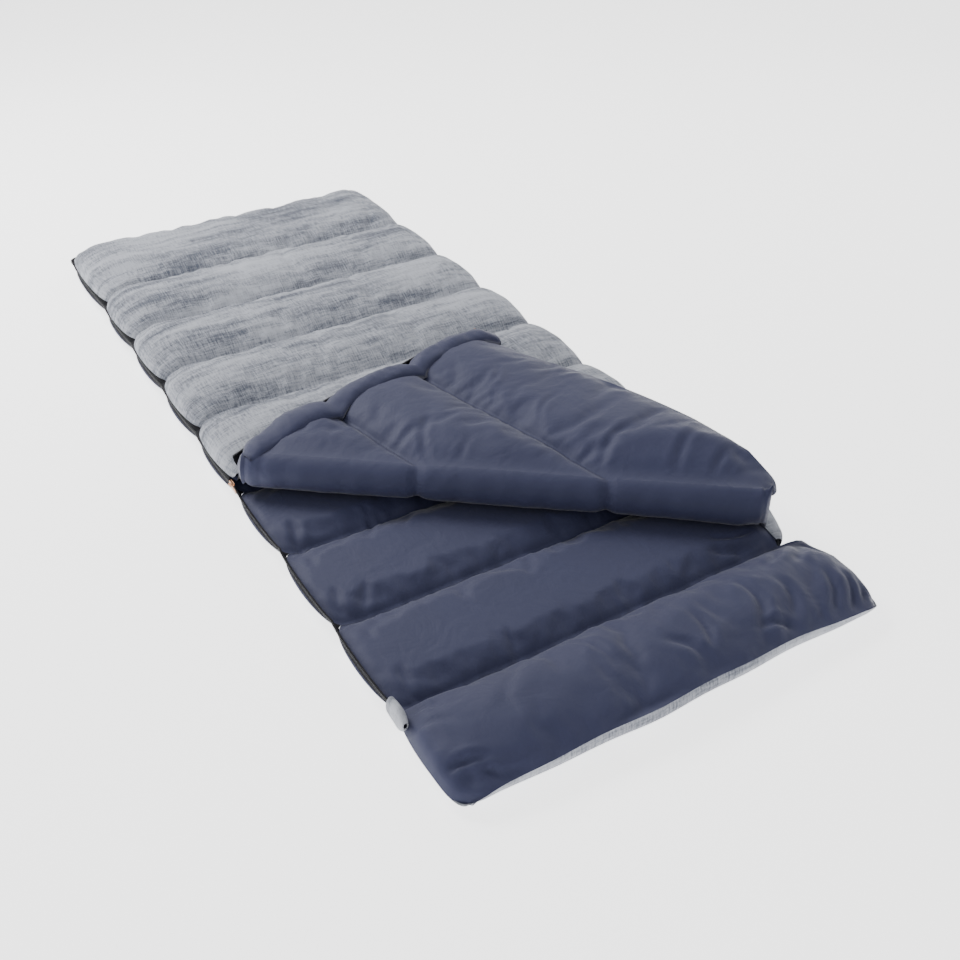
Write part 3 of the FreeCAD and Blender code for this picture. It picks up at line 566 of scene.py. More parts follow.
# Soft folds pressed into the cloth: from and to in flat cloth places, then width and depth, in metres.
BASE_CREASES = (
    ((-0.352, -0.250), (-0.390, -0.375), 0.007, 0.0050),
    ((-0.372, -0.385), (-0.392, -0.580), 0.007, 0.0050),
    ((-0.310, -0.425), (-0.360, -0.580), 0.008, 0.0045),
    ((-0.372, -0.605), (-0.368, -0.775), 0.007, 0.0050),
    ((-0.384, -0.430), (-0.392, -0.470), 0.005, 0.0030),
    ((-0.228, -0.316), (-0.258, -0.405), 0.006, 0.0035),
    ((-0.252, -0.414), (-0.230, -0.550), 0.007, 0.0040),
    ((-0.190, -0.660), (-0.185, -0.780), 0.007, 0.0045),
    ((-0.288, -0.665), (-0.292, -0.750), 0.006, 0.0035),
    ((-0.060, -0.640), (-0.010, -0.700), 0.006, 0.0025),
    ((0.040, -0.600), (0.105, -0.700), 0.007, 0.0030),
    ((0.160, -0.850), (0.135, -0.960), 0.010, 0.0085),
    ((0.125, -0.955), (0.185, -0.990), 0.008, 0.0060),
    ((0.050, -0.870), (0.030, -0.960), 0.008, 0.0055),
    ((-0.020, -0.900), (0.020, -0.985), 0.009, 0.0060),
    ((-0.130, -0.815), (-0.110, -0.915), 0.008, 0.0035),
    ((-0.395, -0.940), (-0.340, -0.960), 0.007, 0.0065),
    ((-0.360, -0.960), (-0.345, -0.992), 0.006, 0.0055),
    ((-0.392, -0.815), (-0.355, -0.830), 0.006, 0.0045),
    ((-0.396, -0.850), (-0.350, -0.875), 0.006, 0.0035),
    ((0.300, -0.900), (0.255, -0.985), 0.007, 0.0060),
    ((0.325, -0.920), (0.295, -0.990), 0.006, 0.0055),
    ((0.345, -0.945), (0.325, -0.990), 0.006, 0.0045),
    ((0.215, -0.880), (0.195, -0.970), 0.008, 0.0045),
    ((0.345, -0.765), (0.230, -0.745), 0.007, 0.0060),
    ((0.345, -0.745), (0.225, -0.700), 0.007, 0.0055),
    ((0.340, -0.715), (0.220, -0.650), 0.008, 0.0045),
    ((0.330, -0.800), (0.270, -0.870), 0.008, 0.0050),
    ((0.290, -0.800), (0.225, -0.850), 0.007, 0.0035),
)
FLAP_CREASES = (
    ((-0.114, -0.477), (0.030, -0.335), 0.007, 0.0050),
    ((-0.296, -0.293), (-0.236, -0.218), 0.006, 0.0035),
    ((-0.187, -0.357), (-0.110, -0.268), 0.006, 0.0035),
    ((-0.091, -0.690), (-0.058, -0.606), 0.006, 0.0030),
    ((0.085, -0.720), (0.117, -0.574), 0.008, 0.0045),
    ((0.067, -0.524), (0.140, -0.478), 0.007, 0.0045),
    ((-0.216, -0.470), (-0.083, -0.372), 0.007, 0.0035),
    ((-0.213, -0.601), (-0.248, -0.690), 0.006, 0.0030),
    ((0.180, -0.760), (0.230, -0.650), 0.008, 0.0050),
    ((0.250, -0.770), (0.275, -0.690), 0.007, 0.0050),
)


def blow_up(obj, held, pressure, slack, limit, frames=26):
    """Fills the sheet by cloth pressure between its held vertices and keeps the settled shape."""
    start = places(obj)
    pins = obj.vertex_groups.new(name="held")
    pins.add([int(i) for i in np.nonzero(held)[0]], 1.0, "REPLACE")
    cloth = obj.modifiers.new("cloth", "CLOTH")
    fabric = cloth.settings
    fabric.quality = 5
    fabric.mass = 0.12
    fabric.tension_stiffness = fabric.compression_stiffness = 22
    fabric.shear_stiffness = 6
    fabric.bending_stiffness = 0.25
    fabric.tension_damping = fabric.compression_damping = 12
    fabric.air_damping = 3
    fabric.vertex_group_mass = "held"
    fabric.shrink_min = -slack
    fabric.use_pressure = True
    fabric.uniform_pressure_force = pressure
    fabric.effector_weights.gravity = 0
    cloth.point_cache.frame_start = 1
    cloth.point_cache.frame_end = frames
    scene = bpy.context.scene
    for step in range(1, frames + 1):
        scene.frame_set(step)
    settled = obj.evaluated_get(bpy.context.evaluated_depsgraph_get())
    after = np.empty(len(obj.data.vertices) * 3)
    settled.data.vertices.foreach_get("co", after)
    after = after.reshape(-1, 3)
    obj.modifiers.remove(cloth)
    obj.vertex_groups.remove(pins)
    scene.frame_set(1)
    inward = np.minimum(limit, 0.25 * np.abs(cloth_places(obj)[:, 0] - ZIP_X))[:, None]
    move_to(obj, start + np.clip(after - start, -inward, inward))


def refine(obj, lines):
    """One smooth subdivision that keeps the seam lines and the border crisp."""
    flat = cloth_places(obj)
    on_line = np.min(np.abs(flat[:, 1][:, None] - np.asarray(lines)[None, :]), axis=1) < 1e-5
    edges = np.empty(len(obj.data.edges) * 2, dtype=int)
    obj.data.edges.foreach_get("vertices", edges)
    edges = edges.reshape(-1, 2)
    crease = obj.data.attributes.new("crease_edge", "FLOAT", "EDGE")
    crease.data.foreach_set("value", (on_line[edges[:, 0]] & on_line[edges[:, 1]]).astype(np.float32))
    finer = obj.modifiers.new("finer", "SUBSURF")
    finer.levels = finer.render_levels = 1
    finer.boundary_smooth = "PRESERVE_CORNERS"
    puffed = places(obj)
    round_mesh = settled_mesh(obj)
    move_to(obj, flat)
    finer.subdivision_type = "SIMPLE"
    flat_mesh = settled_mesh(obj)
    move_to(obj, puffed)
    flat_after = np.empty(len(flat_mesh.vertices) * 3)
    flat_mesh.vertices.foreach_get("co", flat_after)
    obj.modifiers.clear()
    unused = [obj.data, flat_mesh]
    obj.data = round_mesh
    for mesh in unused:
        bpy.data.meshes.remove(mesh)
    round_mesh.name = obj.name
    for layer in [a for a in round_mesh.attributes if a.name in ("crease_edge", "cloth")]:
        round_mesh.attributes.remove(layer)
    round_mesh.attributes.new("cloth", "FLOAT_VECTOR", "POINT").data.foreach_set("vector", flat_after)


def settled_mesh(obj):
    """A new mesh of the object with its modifiers applied."""
    graph = bpy.context.evaluated_depsgraph_get()
    return bpy.data.meshes.new_from_object(obj.evaluated_get(graph), depsgraph=graph)


def gathers(flat, lines, seed, height, reach=0.045):
    """Small crowded wrinkles that run out of every seam and die away in the channel."""
    x, y = flat[:, 0], flat[:, 1]
    total = np.zeros_like(x)
    rng = np.random.default_rng(seed)
    for line in lines:
        away = np.abs(y - line)
        side = np.sign(y - line)
        phase = rng.uniform(0, math.tau, 4)
        lean = rng.uniform(-0.5, 0.5)
        u = x + lean * (y - line)
        wave = np.sin(math.tau * u / 0.034 + phase[0] + side + 2.2 * np.sin(math.tau * u / 0.21 + phase[1]))
        wave += 0.7 * np.sin(math.tau * u / 0.019 + phase[2] - side + 1.9 * np.sin(math.tau * u / 0.13))
        strength = 0.55 + 0.45 * np.sin(math.tau * u / 0.37 + phase[3] + 2 * side)
        total += wave * strength * np.exp(-away / reach) * smooth(away / 0.008)
    return total * height


def away_from_edges(x, y, low_y):
    """0 on the cloth's sewn edges, easing to 1 away from them."""
    width = 0.03
    across = smooth((x - ZIP_X) / width) * smooth((SIDE_X - x) / width)
    return across * smooth((y - low_y) / width) * smooth((FOOT_Y - y) / width)


def groove(flat, lines):
    """The narrow dip where the stitches pull the cloth in, along every inner seam."""
    away = np.min(np.abs(flat[:, 1][:, None] - np.asarray(lines[1:-1])[None, :]), axis=1)
    return -SEAM_GROOVE * np.exp(-((away / 0.0075) ** 2))


def crease(flat, start, end, width, depth):
    """A soft fold line pressed into the cloth from start to end, in flat cloth places."""
    a, b = np.array(start), np.array(end)
    run = b - a
    length = np.hypot(*run)
    p = flat[:, :2] - a
    t = np.clip(p @ run / length**2, 0, 1)
    bow = 0.12 * length * np.sin(math.pi * t)
    normal = np.array([-run[1], run[0]]) / length
    off = p @ normal - bow
    beyond = np.hypot(p[:, 0] - t * run[0], p[:, 1] - t * run[1])
    fade = np.sin(math.pi * np.clip(t, 0.02, 0.98)) ** 0.7
    valley = np.exp(-((off / width) ** 2)) - 0.5 * np.exp(-(((np.abs(off) - 1.9 * width) / width) ** 2))
    return -depth * valley * fade * (beyond < 6 * width)


def shade_smooth(obj):
    obj.data.polygons.foreach_set("use_smooth", [True] * len(obj.data.polygons))
    obj.data.update()


def cloth_map(obj):
    """Writes the remembered flat places as the piece's own UV map, in metres."""
    flat = cloth_places(obj)
    loops = np.empty(len(obj.data.loops), dtype=int)
    obj.data.loops.foreach_get("vertex_index", loops)
    layer = obj.data.uv_layers.get("cloth_map") or obj.data.uv_layers.new(name="cloth_map")
    layer.data.foreach_set("uv", flat[loops][:, :2].astype(np.float32).ravel())


def dress(obj, material):
    """Gives the piece its one material."""
    obj.data.materials.clear()
    obj.data.materials.append(material)


def half_turn(co):
    """Turns places by half a turn about the flap's fold."""
    out = co.copy()
    past = fold_side(co[:, 0], co[:, 1])
    out[:, 0] -= 2 * past * FOLD_OUT.x
    out[:, 1] -= 2 * past * FOLD_OUT.y
    out[:, 2] = 2 * FOLD_PIVOT.z - co[:, 2]
    return out


def fold_over(obj, names, turns=0):
    """Cuts the cloth along the fold line and lays the flap back. With turns, a roll of that many strips
    joins the two. Returns the pieces named in names: quilt, flap and then the roll."""
    bm = bmesh.new()
    bm.from_mesh(obj.data)
    memory = bm.verts.layers.float_vector["cloth"]
    part = bm.faces.layers.int.new("part")
    found = bmesh.ops.bisect_plane(
        bm, geom=bm.verts[:] + bm.edges[:] + bm.faces[:], dist=1e-5, plane_co=FOLD_PIVOT, plane_no=FOLD_OUT
    )
    bmesh.ops.split_edges(bm, edges=[e for e in found["geom_cut"] if isinstance(e, bmesh.types.BMEdge)])
    flap_verts = set()
    for face in bm.faces:
        if (face.calc_center_median() - FOLD_PIVOT).dot(FOLD_OUT) > 0:
            face[part] = 1
            flap_verts.update(face.verts)
    length = math.pi * (FOLD_PIVOT.z - sizes().quilt_under) if turns else 0.0
    for v in flap_verts:
        v.co -= 2 * (v.co - FOLD_PIVOT).dot(FOLD_OUT) * FOLD_OUT
        v.co.z = 2 * FOLD_PIVOT.z - v.co.z
        v[memory] = v[memory] + FOLD_OUT * length
    if turns:
        on_fold = {e for e in bm.edges if e.is_boundary and all(on_fold_line(v.co) for v in e.verts)}
        bridge = bmesh.ops.bridge_loops(bm, edges=list(on_fold))
        for face in bridge["faces"]:
            face[part] = 2
        shape_roll(bm, list({e for f in bridge["faces"] for e in f.edges} - on_fold), turns)
        bmesh.ops.recalc_face_normals(bm, faces=bm.faces[:])
        if sum(f.normal.z * f.calc_area() for f in bm.faces if f[part] == 0) > 0:
            bmesh.ops.reverse_faces(bm, faces=bm.faces[:])
    bm.normal_update()
    way = bm.verts.layers.float_vector.new("way")
    for v in bm.verts:
        v[way] = v.normal
    pieces = [cut_out(bm, number, name) for number, name in enumerate(names)]
    bm.free()
    bpy.data.objects.remove(obj)
    return pieces


def on_fold_line(co):
    """Whether a place lies in the upright plane through the fold line."""
    return abs((co - FOLD_PIVOT).dot(FOLD_OUT)) < 2e-5


def cut_out(bm, number, name):
    """The faces of one part as their own piece, shaded as if they were still joined to the rest."""
    alone = bm.copy()
    part = alone.faces.layers.int["part"]
    bmesh.ops.delete(alone, geom=[f for f in alone.faces if f[part] != number], context="FACES")
    piece = as_object(name, alone)
    mesh = piece.data
    way = np.empty(len(mesh.vertices) * 3)
    mesh.attributes["way"].data.foreach_get("vector", way)
    shade_smooth(piece)
    mesh.normals_split_custom_set_from_vertices(way.reshape(-1, 3).tolist())
    for layer in ("way", "part"):
        mesh.attributes.remove(mesh.attributes[layer])
    return piece


def shape_roll(bm, rungs, turns):
    """Subdivides the straight rungs between quilt and flap and rounds them into the fold's roll."""
    ends = {}
    for e in rungs:
        ends[round(fold_run(e.verts[0].co.x, e.verts[0].co.y), 5)] = sorted(v.co.z for v in e.verts)
    runs = np.array(sorted(ends))
    lows = np.array([ends[r][0] for r in runs])
    highs = np.array([ends[r][1] for r in runs])
    seam_runs = [(line - FOLD_PIVOT.y) / FOLD_ALONG.y for line in INNER_SEAMS]
    part = bm.faces.layers.int["part"]
    bmesh.ops.subdivide_edges(bm, edges=rungs, cuts=turns - 1, use_grid_fill=True)
    for v in {v for f in bm.faces if f[part] == 2 for v in f.verts}:
        if any(f[part] != 2 for f in v.link_faces):
            continue
        run = fold_run(v.co.x, v.co.y)
        low, high = float(np.interp(run, runs, lows)), float(np.interp(run, runs, highs))
        part_way = (v.co.z - low) / max(high - low, 1e-6)
        radius = (high - low) / 2
        pinch = float(ease(run, 0.05) * ease(FOLD_END - run, 0.07))
        droop = 0.008 + 0.006 * float(smooth((run - FOLD_END + 0.16) / 0.12))
        tuck = 1 - 0.16 * sum(math.exp(-(((run - seam) / 0.009) ** 2)) for seam in seam_runs)
        wrinkle = math.sin(run * 61 + part_way * 3) * math.sin(run * 23 + 1.3)
        wrinkle += 0.7 * math.sin(run * 118 - part_way * 2)
        tuck += 0.045 * wrinkle * math.sin(math.pi * part_way)
        v.co += FOLD_OUT * (radius * 0.95 * math.sin(math.pi * part_way) * pinch * tuck)
        v.co.z = low + radius * (1 - math.cos(math.pi * part_way))
        v.co.z -= droop * math.sin(math.pi * part_way) * pinch


def seam_line(obj, line):
    """The places of the cloth along one quilting seam, from the zip to the side fold."""
    flat, co = cloth_places(obj), places(obj)
    on = np.abs(flat[:, 1] - line) < 1e-4
    return co[on][np.argsort(flat[on][:, 0])]


def even_points(path, pitch):
    """Places at an even pitch along a path, with the direction at each."""
    steps = np.linalg.norm(np.diff(path, axis=0), axis=1)
    run = np.concatenate([[0.0], np.cumsum(steps)])
    at = np.arange(pitch / 2, run[-1], pitch)
    spots = np.stack([np.interp(at, run, path[:, i]) for i in range(3)], axis=1)
    ahead = np.stack([np.interp(at + pitch * 0.2, run, path[:, i]) for i in range(3)], axis=1)
    behind = np.stack([np.interp(at - pitch * 0.2, run, path[:, i]) for i in range(3)], axis=1)
    way = ahead - behind
    return spots, way / np.maximum(np.linalg.norm(way, axis=1, keepdims=True), 1e-9)


def bead_mesh(length, width, height):
    """A small rounded bead along x, used for a stitch or a turn of the coil."""
    bm = bmesh.new()
    bmesh.ops.create_uvsphere(bm, u_segments=6, v_segments=4, radius=0.5)
    bmesh.ops.rotate(bm, verts=bm.verts[:], cent=(0, 0, 0), matrix=Matrix.Rotation(math.pi / 2, 3, "Y"))
    bmesh.ops.scale(bm, verts=bm.verts[:], vec=(length, width, height))
    co = np.array([v.co for v in bm.verts])
    faces = [[v.index for v in f.verts] for f in bm.faces]
    bm.free()
    return co, faces


def beads(name, spots, ways, ups, shape):
    """One bead at every spot, lying along its way with its top to up."""
    template, faces = bead_mesh(*shape)
    across = np.cross(ups, ways)
    across /= np.maximum(np.linalg.norm(across, axis=1, keepdims=True), 1e-9)
    ups = np.cross(ways, across)
    co = (
        spots[:, None, :]
        + template[None, :, 0:1] * ways[:, None, :]
        + template[None, :, 1:2] * across[:, None, :]
        + template[None, :, 2:3] * ups[:, None, :]
    ).reshape(-1, 3)
    count = len(template)
    every = [[i + n * count for i in face] for n in range(len(spots)) for face in faces]
    mesh = bpy.data.meshes.new(name)
    mesh.from_pydata(co.tolist(), [], every)
    obj = bpy.data.objects.new(name, mesh)
    bpy.context.scene.collection.objects.link(obj)
    shade_smooth(obj)
    return obj


# ---------------------------------------------------------------- materials


def node_group(name, inputs, outputs):
    """An empty shader group with named sockets. Returns the tree and its two end nodes."""
    tree = bpy.data.node_groups.new(name, "ShaderNodeTree")
    for label, kind, default in inputs:
        socket = tree.interface.new_socket(label, in_out="INPUT", socket_type=kind)
        if default is not None:
            socket.default_value = default
    for label, kind in outputs:
        tree.interface.new_socket(label, in_out="OUTPUT", socket_type=kind)
    return tree, tree.nodes.new("NodeGroupInput"), tree.nodes.new("NodeGroupOutput")


def math_node(tree, operation, a, b=None):
    """A Math node whose inputs are sockets or plain numbers."""
    node = tree.nodes.new("ShaderNodeMath")
    node.operation = operation
    for i, value in enumerate((a, b)):
        if value is None:
            continue
        if isinstance(value, (int, float)):
            node.inputs[i].default_value = value
        else:
            tree.links.new(value, node.inputs[i])
    return node.outputs[0]


def scaled(tree, vector, scale):
    """The vector with each part multiplied."""
    node = tree.nodes.new("ShaderNodeMapping")
    node.inputs["Scale"].default_value = scale
    tree.links.new(vector, node.inputs["Vector"])
    return node.outputs[0]


def noise(tree, vector, scale, detail=2.0, roughness=0.5, distortion=0.0):
    """A Noise texture's value."""
    node = tree.nodes.new("ShaderNodeTexNoise")
    node.inputs["Scale"].default_value = scale
    node.inputs["Detail"].default_value = detail
    node.inputs["Roughness"].default_value = roughness
    node.inputs["Distortion"].default_value = distortion
    tree.links.new(vector, node.inputs["Vector"])
    return node.outputs["Fac"]


def remap(tree, value, low, high, to_low=0.0, to_high=1.0):
    """The value eased from one range into another."""
    node = tree.nodes.new("ShaderNodeMapRange")
    node.interpolation_type = "SMOOTHSTEP"
    for label, number in (("From Min", low), ("From Max", high), ("To Min", to_low), ("To Max", to_high)):
        node.inputs[label].default_value = number
    tree.links.new(value, node.inputs["Value"])
    return node.outputs["Result"]


def weave_group():
    """Over-and-under weave: threads each way, with the height of the crossing."""
    tree, start, end = node_group(
        "plain_weave",
        [("Cloth", "NodeSocketVector", None), ("Threads per metre", "NodeSocketFloat", 900.0)],
        [("Height", "NodeSocketFloat"), ("Thread", "NodeSocketFloat")],
    )
    size = tree.nodes.new("ShaderNodeVectorMath")
    size.operation = "SCALE"
    tree.links.new(start.outputs["Cloth"], size.inputs[0])
    tree.links.new(start.outputs["Threads per metre"], size.inputs["Scale"])
    parts = tree.nodes.new("ShaderNodeSeparateXYZ")
    tree.links.new(size.outputs[0], parts.inputs[0])
    warp = math_node(tree, "SINE", math_node(tree, "MULTIPLY", parts.outputs[0], math.tau))
    weft = math_node(tree, "SINE", math_node(tree, "MULTIPLY", parts.outputs[1], math.tau))
    both = math_node(tree, "MULTIPLY", warp, weft)
    height = remap(tree, both, -1.0, 1.0)
    thread = remap(tree, math_node(tree, "ADD", warp, weft), -2.0, 2.0)
    tree.links.new(height, end.inputs["Height"])
    tree.links.new(thread, end.inputs["Thread"])
    return tree


def crumple_group():
    """Fine soft wrinkles of thin cloth over loose filling."""
    tree, start, end = node_group(
        "crumple",
        [("Cloth", "NodeSocketVector", None), ("Size", "NodeSocketFloat", 1.0)],
        [("Height", "NodeSocketFloat"), ("Shade", "NodeSocketFloat")],
    )
    size = tree.nodes.new("ShaderNodeVectorMath")
    size.operation = "SCALE"
    tree.links.new(start.outputs["Cloth"], size.inputs[0])
    tree.links.new(start.outputs["Size"], size.inputs["Scale"])
    broad = noise(tree, size.outputs[0], 13.0, 3.0, 0.45, 0.9)
    narrow = noise(tree, scaled(tree, size.outputs[0], (1.0, 0.45, 1.0)), 46.0, 2.0, 0.5, 0.6)
    height = math_node(tree, "ADD", broad, math_node(tree, "MULTIPLY", narrow, 0.28))
    tree.links.new(height, end.inputs["Height"])
    tree.links.new(noise(tree, size.outputs[0], 5.0, 2.0), end.inputs["Shade"])
    return tree


def heather_group():
    """Marled yarn: long uneven streaks across the cloth, crossed by finer ones, as a mask of dark yarn."""
    tree, start, end = node_group(
        "heather",
        [("Cloth", "NodeSocketVector", None), ("Contrast", "NodeSocketFloat", 1.0)],
        [("Dark yarn", "NodeSocketFloat")],
    )
    cloth = start.outputs["Cloth"]
    weft = noise(tree, scaled(tree, cloth, (1.0, 14.0, 1.0)), 26.0, 4.0, 0.62)
    long = noise(tree, scaled(tree, cloth, (1.0, 7.0, 1.0)), 5.5, 4.0, 0.6)
    warp = noise(tree, scaled(tree, cloth, (9.0, 1.0, 1.0)), 40.0, 3.0, 0.6)
    cloudy = noise(tree, cloth, 4.0, 2.0)
    fleck = noise(tree, scaled(tree, cloth, (1.0, 2.4, 1.0)), 260.0, 2.0, 0.6)
    band = noise(tree, scaled(tree, cloth, (1.0, 3.6, 1.0)), 2.6, 3.0, 0.55, 0.5)
    parts = ((weft, 0.36), (long, 0.50), (band, 0.46), (warp, 0.42), (cloudy, 0.12), (fleck, 0.24))
    total = None
    for value, weight in parts:
        share = math_node(tree, "MULTIPLY", math_node(tree, "SUBTRACT", value, 0.5), weight)
        total = share if total is None else math_node(tree, "ADD", total, share)
    strong = math_node(tree, "MULTIPLY", total, start.outputs["Contrast"])
    tree.links.new(remap(tree, strong, -0.15, 0.20), end.inputs["Dark yarn"])
    return tree


def put_group(tree, name, vector, **values):
    """Places a shared group in a material and sets its numbers."""
    node = tree.nodes.new("ShaderNodeGroup")
    node.node_tree = bpy.data.node_groups[name]
    tree.links.new(vector, node.inputs[0])
    for label, value in values.items():
        node.inputs[label.replace("_", " ")].default_value = value
    return node


def blank(name, roughness, metallic=0.0, sheen=0.0, specular=0.5):
    """A material with a bare Principled shader and the vector that its patterns read."""
    material = bpy.data.materials.new(name)
    material.use_nodes = True
    tree = material.node_tree
    shader = tree.nodes["Principled BSDF"]
    shader.inputs["Roughness"].default_value = roughness
    shader.inputs["Metallic"].default_value = metallic
    shader.inputs["Sheen Weight"].default_value = sheen
    shader.inputs["Sheen Roughness"].default_value = 0.45
    shader.inputs["Specular IOR Level"].default_value = specular
    return material, tree, shader


def own_map(tree):
    """The piece's own map, in metres of flat cloth."""
    node = tree.nodes.new("ShaderNodeUVMap")
    node.uv_map = "cloth_map"
    return node.outputs["UV"]


def object_places(tree):
    """The piece's own coordinates, for small solid parts."""
    return tree.nodes.new("ShaderNodeTexCoord").outputs["Object"]


def bump(tree, shader, height, distance, strength=1.0, under=None):
    """A Bump node on the shader, on top of another bump if there is one."""
    node = tree.nodes.new("ShaderNodeBump")
    node.inputs["Distance"].default_value = distance
    node.inputs["Strength"].default_value = strength
    tree.links.new(height, node.inputs["Height"])
    if under is not None:
        tree.links.new(under, node.inputs["Normal"])
    tree.links.new(node.outputs["Normal"], shader.inputs["Normal"])
    return node.outputs["Normal"]


def mix_colours(tree, mask, first, second):
    """The first colour where the mask is 0 and the second where it is 1."""
    node = tree.nodes.new("ShaderNodeMix")
    node.data_type = "RGBA"
    node.inputs["A"].default_value = (*first, 1.0)
    node.inputs["B"].default_value = (*second, 1.0)
    tree.links.new(mask, node.inputs["Factor"])
    return node.outputs["Result"]


def tinted(colour, factor):
    """The colour made darker or lighter."""
    return tuple(min(1.0, c * factor) for c in colour)


def paint(tree, shader, mask, colour, low, high):
    """Lets the base colour drift between two tints of one colour."""
    base = mix_colours(tree, mask, tinted(colour, low), tinted(colour, high))
    tree.links.new(base, shader.inputs["Base Color"])


def roughen(tree, shader, mask, low, high, smoothest, roughest):
    """Lets the roughness follow the mask."""
    tree.links.new(remap(tree, mask, low, high, smoothest, roughest), shader.inputs["Roughness"])


def lining_material():
    """Smooth navy polyester with a faint bloom, fine weave and soft wrinkles."""
    material, tree, shader = blank("navy_lining_cloth", 0.62, sheen=0.22, specular=0.32)
    place = own_map(tree)
    crumple = put_group(tree, "crumple", place)
    weave = put_group(tree, "plain_weave", place, Threads_per_metre=650.0)
    paint(tree, shader, crumple.outputs["Shade"], colours().lining, 0.88, 1.12)
    roughen(tree, shader, weave.outputs["Thread"], 0.0, 1.0, 0.56, 0.68)
    under = bump(tree, shader, crumple.outputs["Height"], 0.006, 0.55)
    bump(tree, shader, weave.outputs["Height"], 0.0002, 0.5, under)
    return material


def shell_material():
    """Pale grey heather shell with dark streaks of marled yarn."""
    material, tree, shader = blank("heather_shell_cloth", 0.86, sheen=0.12, specular=0.22)
    place = own_map(tree)
    heather = put_group(tree, "heather", place, Contrast=1.0)
    crumple = put_group(tree, "crumple", place, Size=0.8)
    weave = put_group(tree, "plain_weave", place, Threads_per_metre=420.0)
    colour = mix_colours(tree, heather.outputs["Dark yarn"], colours().shell_light, colours().shell_dark)
    tree.links.new(colour, shader.inputs["Base Color"])
    roughen(tree, shader, heather.outputs["Dark yarn"], 0.0, 1.0, 0.90, 0.78)
    under = bump(tree, shader, crumple.outputs["Height"], 0.004, 0.45)
    bump(tree, shader, weave.outputs["Height"], 0.0004, 0.6, under)
    return material


def thread_material():
    """Twisted polyester thread."""
    material, tree, shader = blank("quilting_thread", 0.6, sheen=0.2, specular=0.4)
    shade = noise(tree, object_places(tree), 900.0, 1.0)
    paint(tree, shader, shade, colours().thread, 0.7, 1.5)
    bump(tree, shader, shade, 0.0002, 0.6)
    return material


def tape_material():
    """Black woven zip tape."""
    material, tree, shader = blank("zip_tape_cloth", 0.85, sheen=0.03, specular=0.15)
    weave = put_group(tree, "plain_weave", own_map(tree), Threads_per_metre=700.0)
    paint(tree, shader, weave.outputs["Thread"], colours().tape, 0.5, 1.3)
    bump(tree, shader, weave.outputs["Height"], 0.0004, 0.7)
    return material


def coil_material():
    """Black nylon with a dull shine."""
    material, tree, shader = blank("nylon_coil", 0.38, specular=0.5)
    shade = noise(tree, object_places(tree), 160.0, 2.0)
    paint(tree, shader, shade, colours().coil, 0.7, 1.6)
    roughen(tree, shader, shade, 0.3, 0.7, 0.30, 0.48)
    return material


def metal_material():
    """Coppery plated metal with fine scratches and duller hollows."""
    material, tree, shader = blank("coppery_zip_metal", 0.34, metallic=1.0)
    place = object_places(tree)
    scratches = noise(tree, scaled(tree, place, (1.0, 14.0, 1.0)), 420.0, 2.0, 0.7)
    wear = noise(tree, place, 130.0, 3.0)
    paint(tree, shader, wear, colours().metal, 0.62, 1.15)
    roughen(tree, shader, scratches, 0.3, 0.75, 0.24, 0.46)
    bump(tree, shader, scratches, 0.0001, 0.4)
    return material


# Depth of the groove pressed in along a sewn line, and radius of the flap's rounded corner, in metres.
SEAM_GROOVE = 0.0045
FLAP_CORNER = 0.028
# The point on the floor that the camera looks at.
AIM = Vector((0.0254, -0.3185, 0))
FINISHES = (lining_material, shell_material, thread_material, tape_material, coil_material, metal_material)

# ---------------------------------------------------------------- operators


class BAG_OT_stage(Operator):
    """Adds the camera, the pale floor and the soft lights"""

    bl_idname = "bag.stage"
    bl_label = "Stage"

    def execute(self, context):
        stage = context.scene.bag_stage
        lens = bpy.data.cameras.new("camera")
        lens.lens = stage.lens
        lens.sensor_width = 36
        lens.clip_start, lens.clip_end = 0.05, 60
        camera = bpy.data.objects.new("camera", lens)
        context.scene.collection.objects.link(camera)
        a, e = stage.azimuth, stage.elevation
        back = Vector((math.sin(a) * math.cos(e), -math.cos(a) * math.cos(e), math.sin(e)))
        camera.location = AIM + back * stage.distance
        camera.rotation_euler = back.to_track_quat("Z", "Y").to_euler()
        context.scene.camera = camera
        self.floor(context)
        self.lights(context, stage)
        return {"FINISHED"}

    def floor(self, context):
        """A wide round floor that glows softly like a lit white sweep."""
        bm = bmesh.new()
        bmesh.ops.create_circle(bm, cap_ends=True, segments=96, radius=28)
        floor = as_object("floor", bm)
        material, tree, shader = blank("pale_floor", 0.9, specular=0.1)
        paint(tree, shader, noise(tree, object_places(tree), 3.0, 2.0), colours().floor, 0.995, 1.005)
        shader.inputs["Emission Color"].default_value = (1.0, 1.0, 1.0, 1.0)
        shader.inputs["Emission Strength"].default_value = context.scene.bag_stage.glow
        floor.data.materials.append(material)
        floor.location.z = -0.0005

    def lights(self, context, stage):
        """Plain white surroundings, a broad key light behind the bag and two weak fills."""
        world = bpy.data.worlds.new("surroundings")
        context.scene.world = world
        world.use_nodes = True
        sky = world.node_tree.nodes["Background"]
        sky.inputs["Color"].default_value = (0.97, 0.98, 1.0, 1.0)
        sky.inputs["Strength"].default_value = stage.sky
        for name, place, power, size in (
            ("key_light", (-0.9, 2.0, 2.3), stage.key, 1.4),
            ("fill_light", (-2.4, -1.6, 2.0), stage.fill, 2.4),
            ("rim_light", (2.4, 0.6, 1.8), stage.fill, 2.0),
        ):
            lamp = bpy.data.lights.new(name, "AREA")
            lamp.energy, lamp.size = power, size
            light = bpy.data.objects.new(name, lamp)
            context.scene.collection.objects.link(light)
            light.location = place
            light.rotation_euler = (Vector(place) - Vector((0, -0.1, 0))).to_track_quat("Z", "Y").to_euler()


class BAG_OT_materials(Operator):
    """Makes the shared pattern groups and every cloth, thread and metal finish"""

    bl_idname = "bag.materials"
    bl_label = "Materials"

    def execute(self, context):
        weave_group()
        crumple_group()
        heather_group()
        for make in FINISHES:
            make()
        return {"FINISHED"}


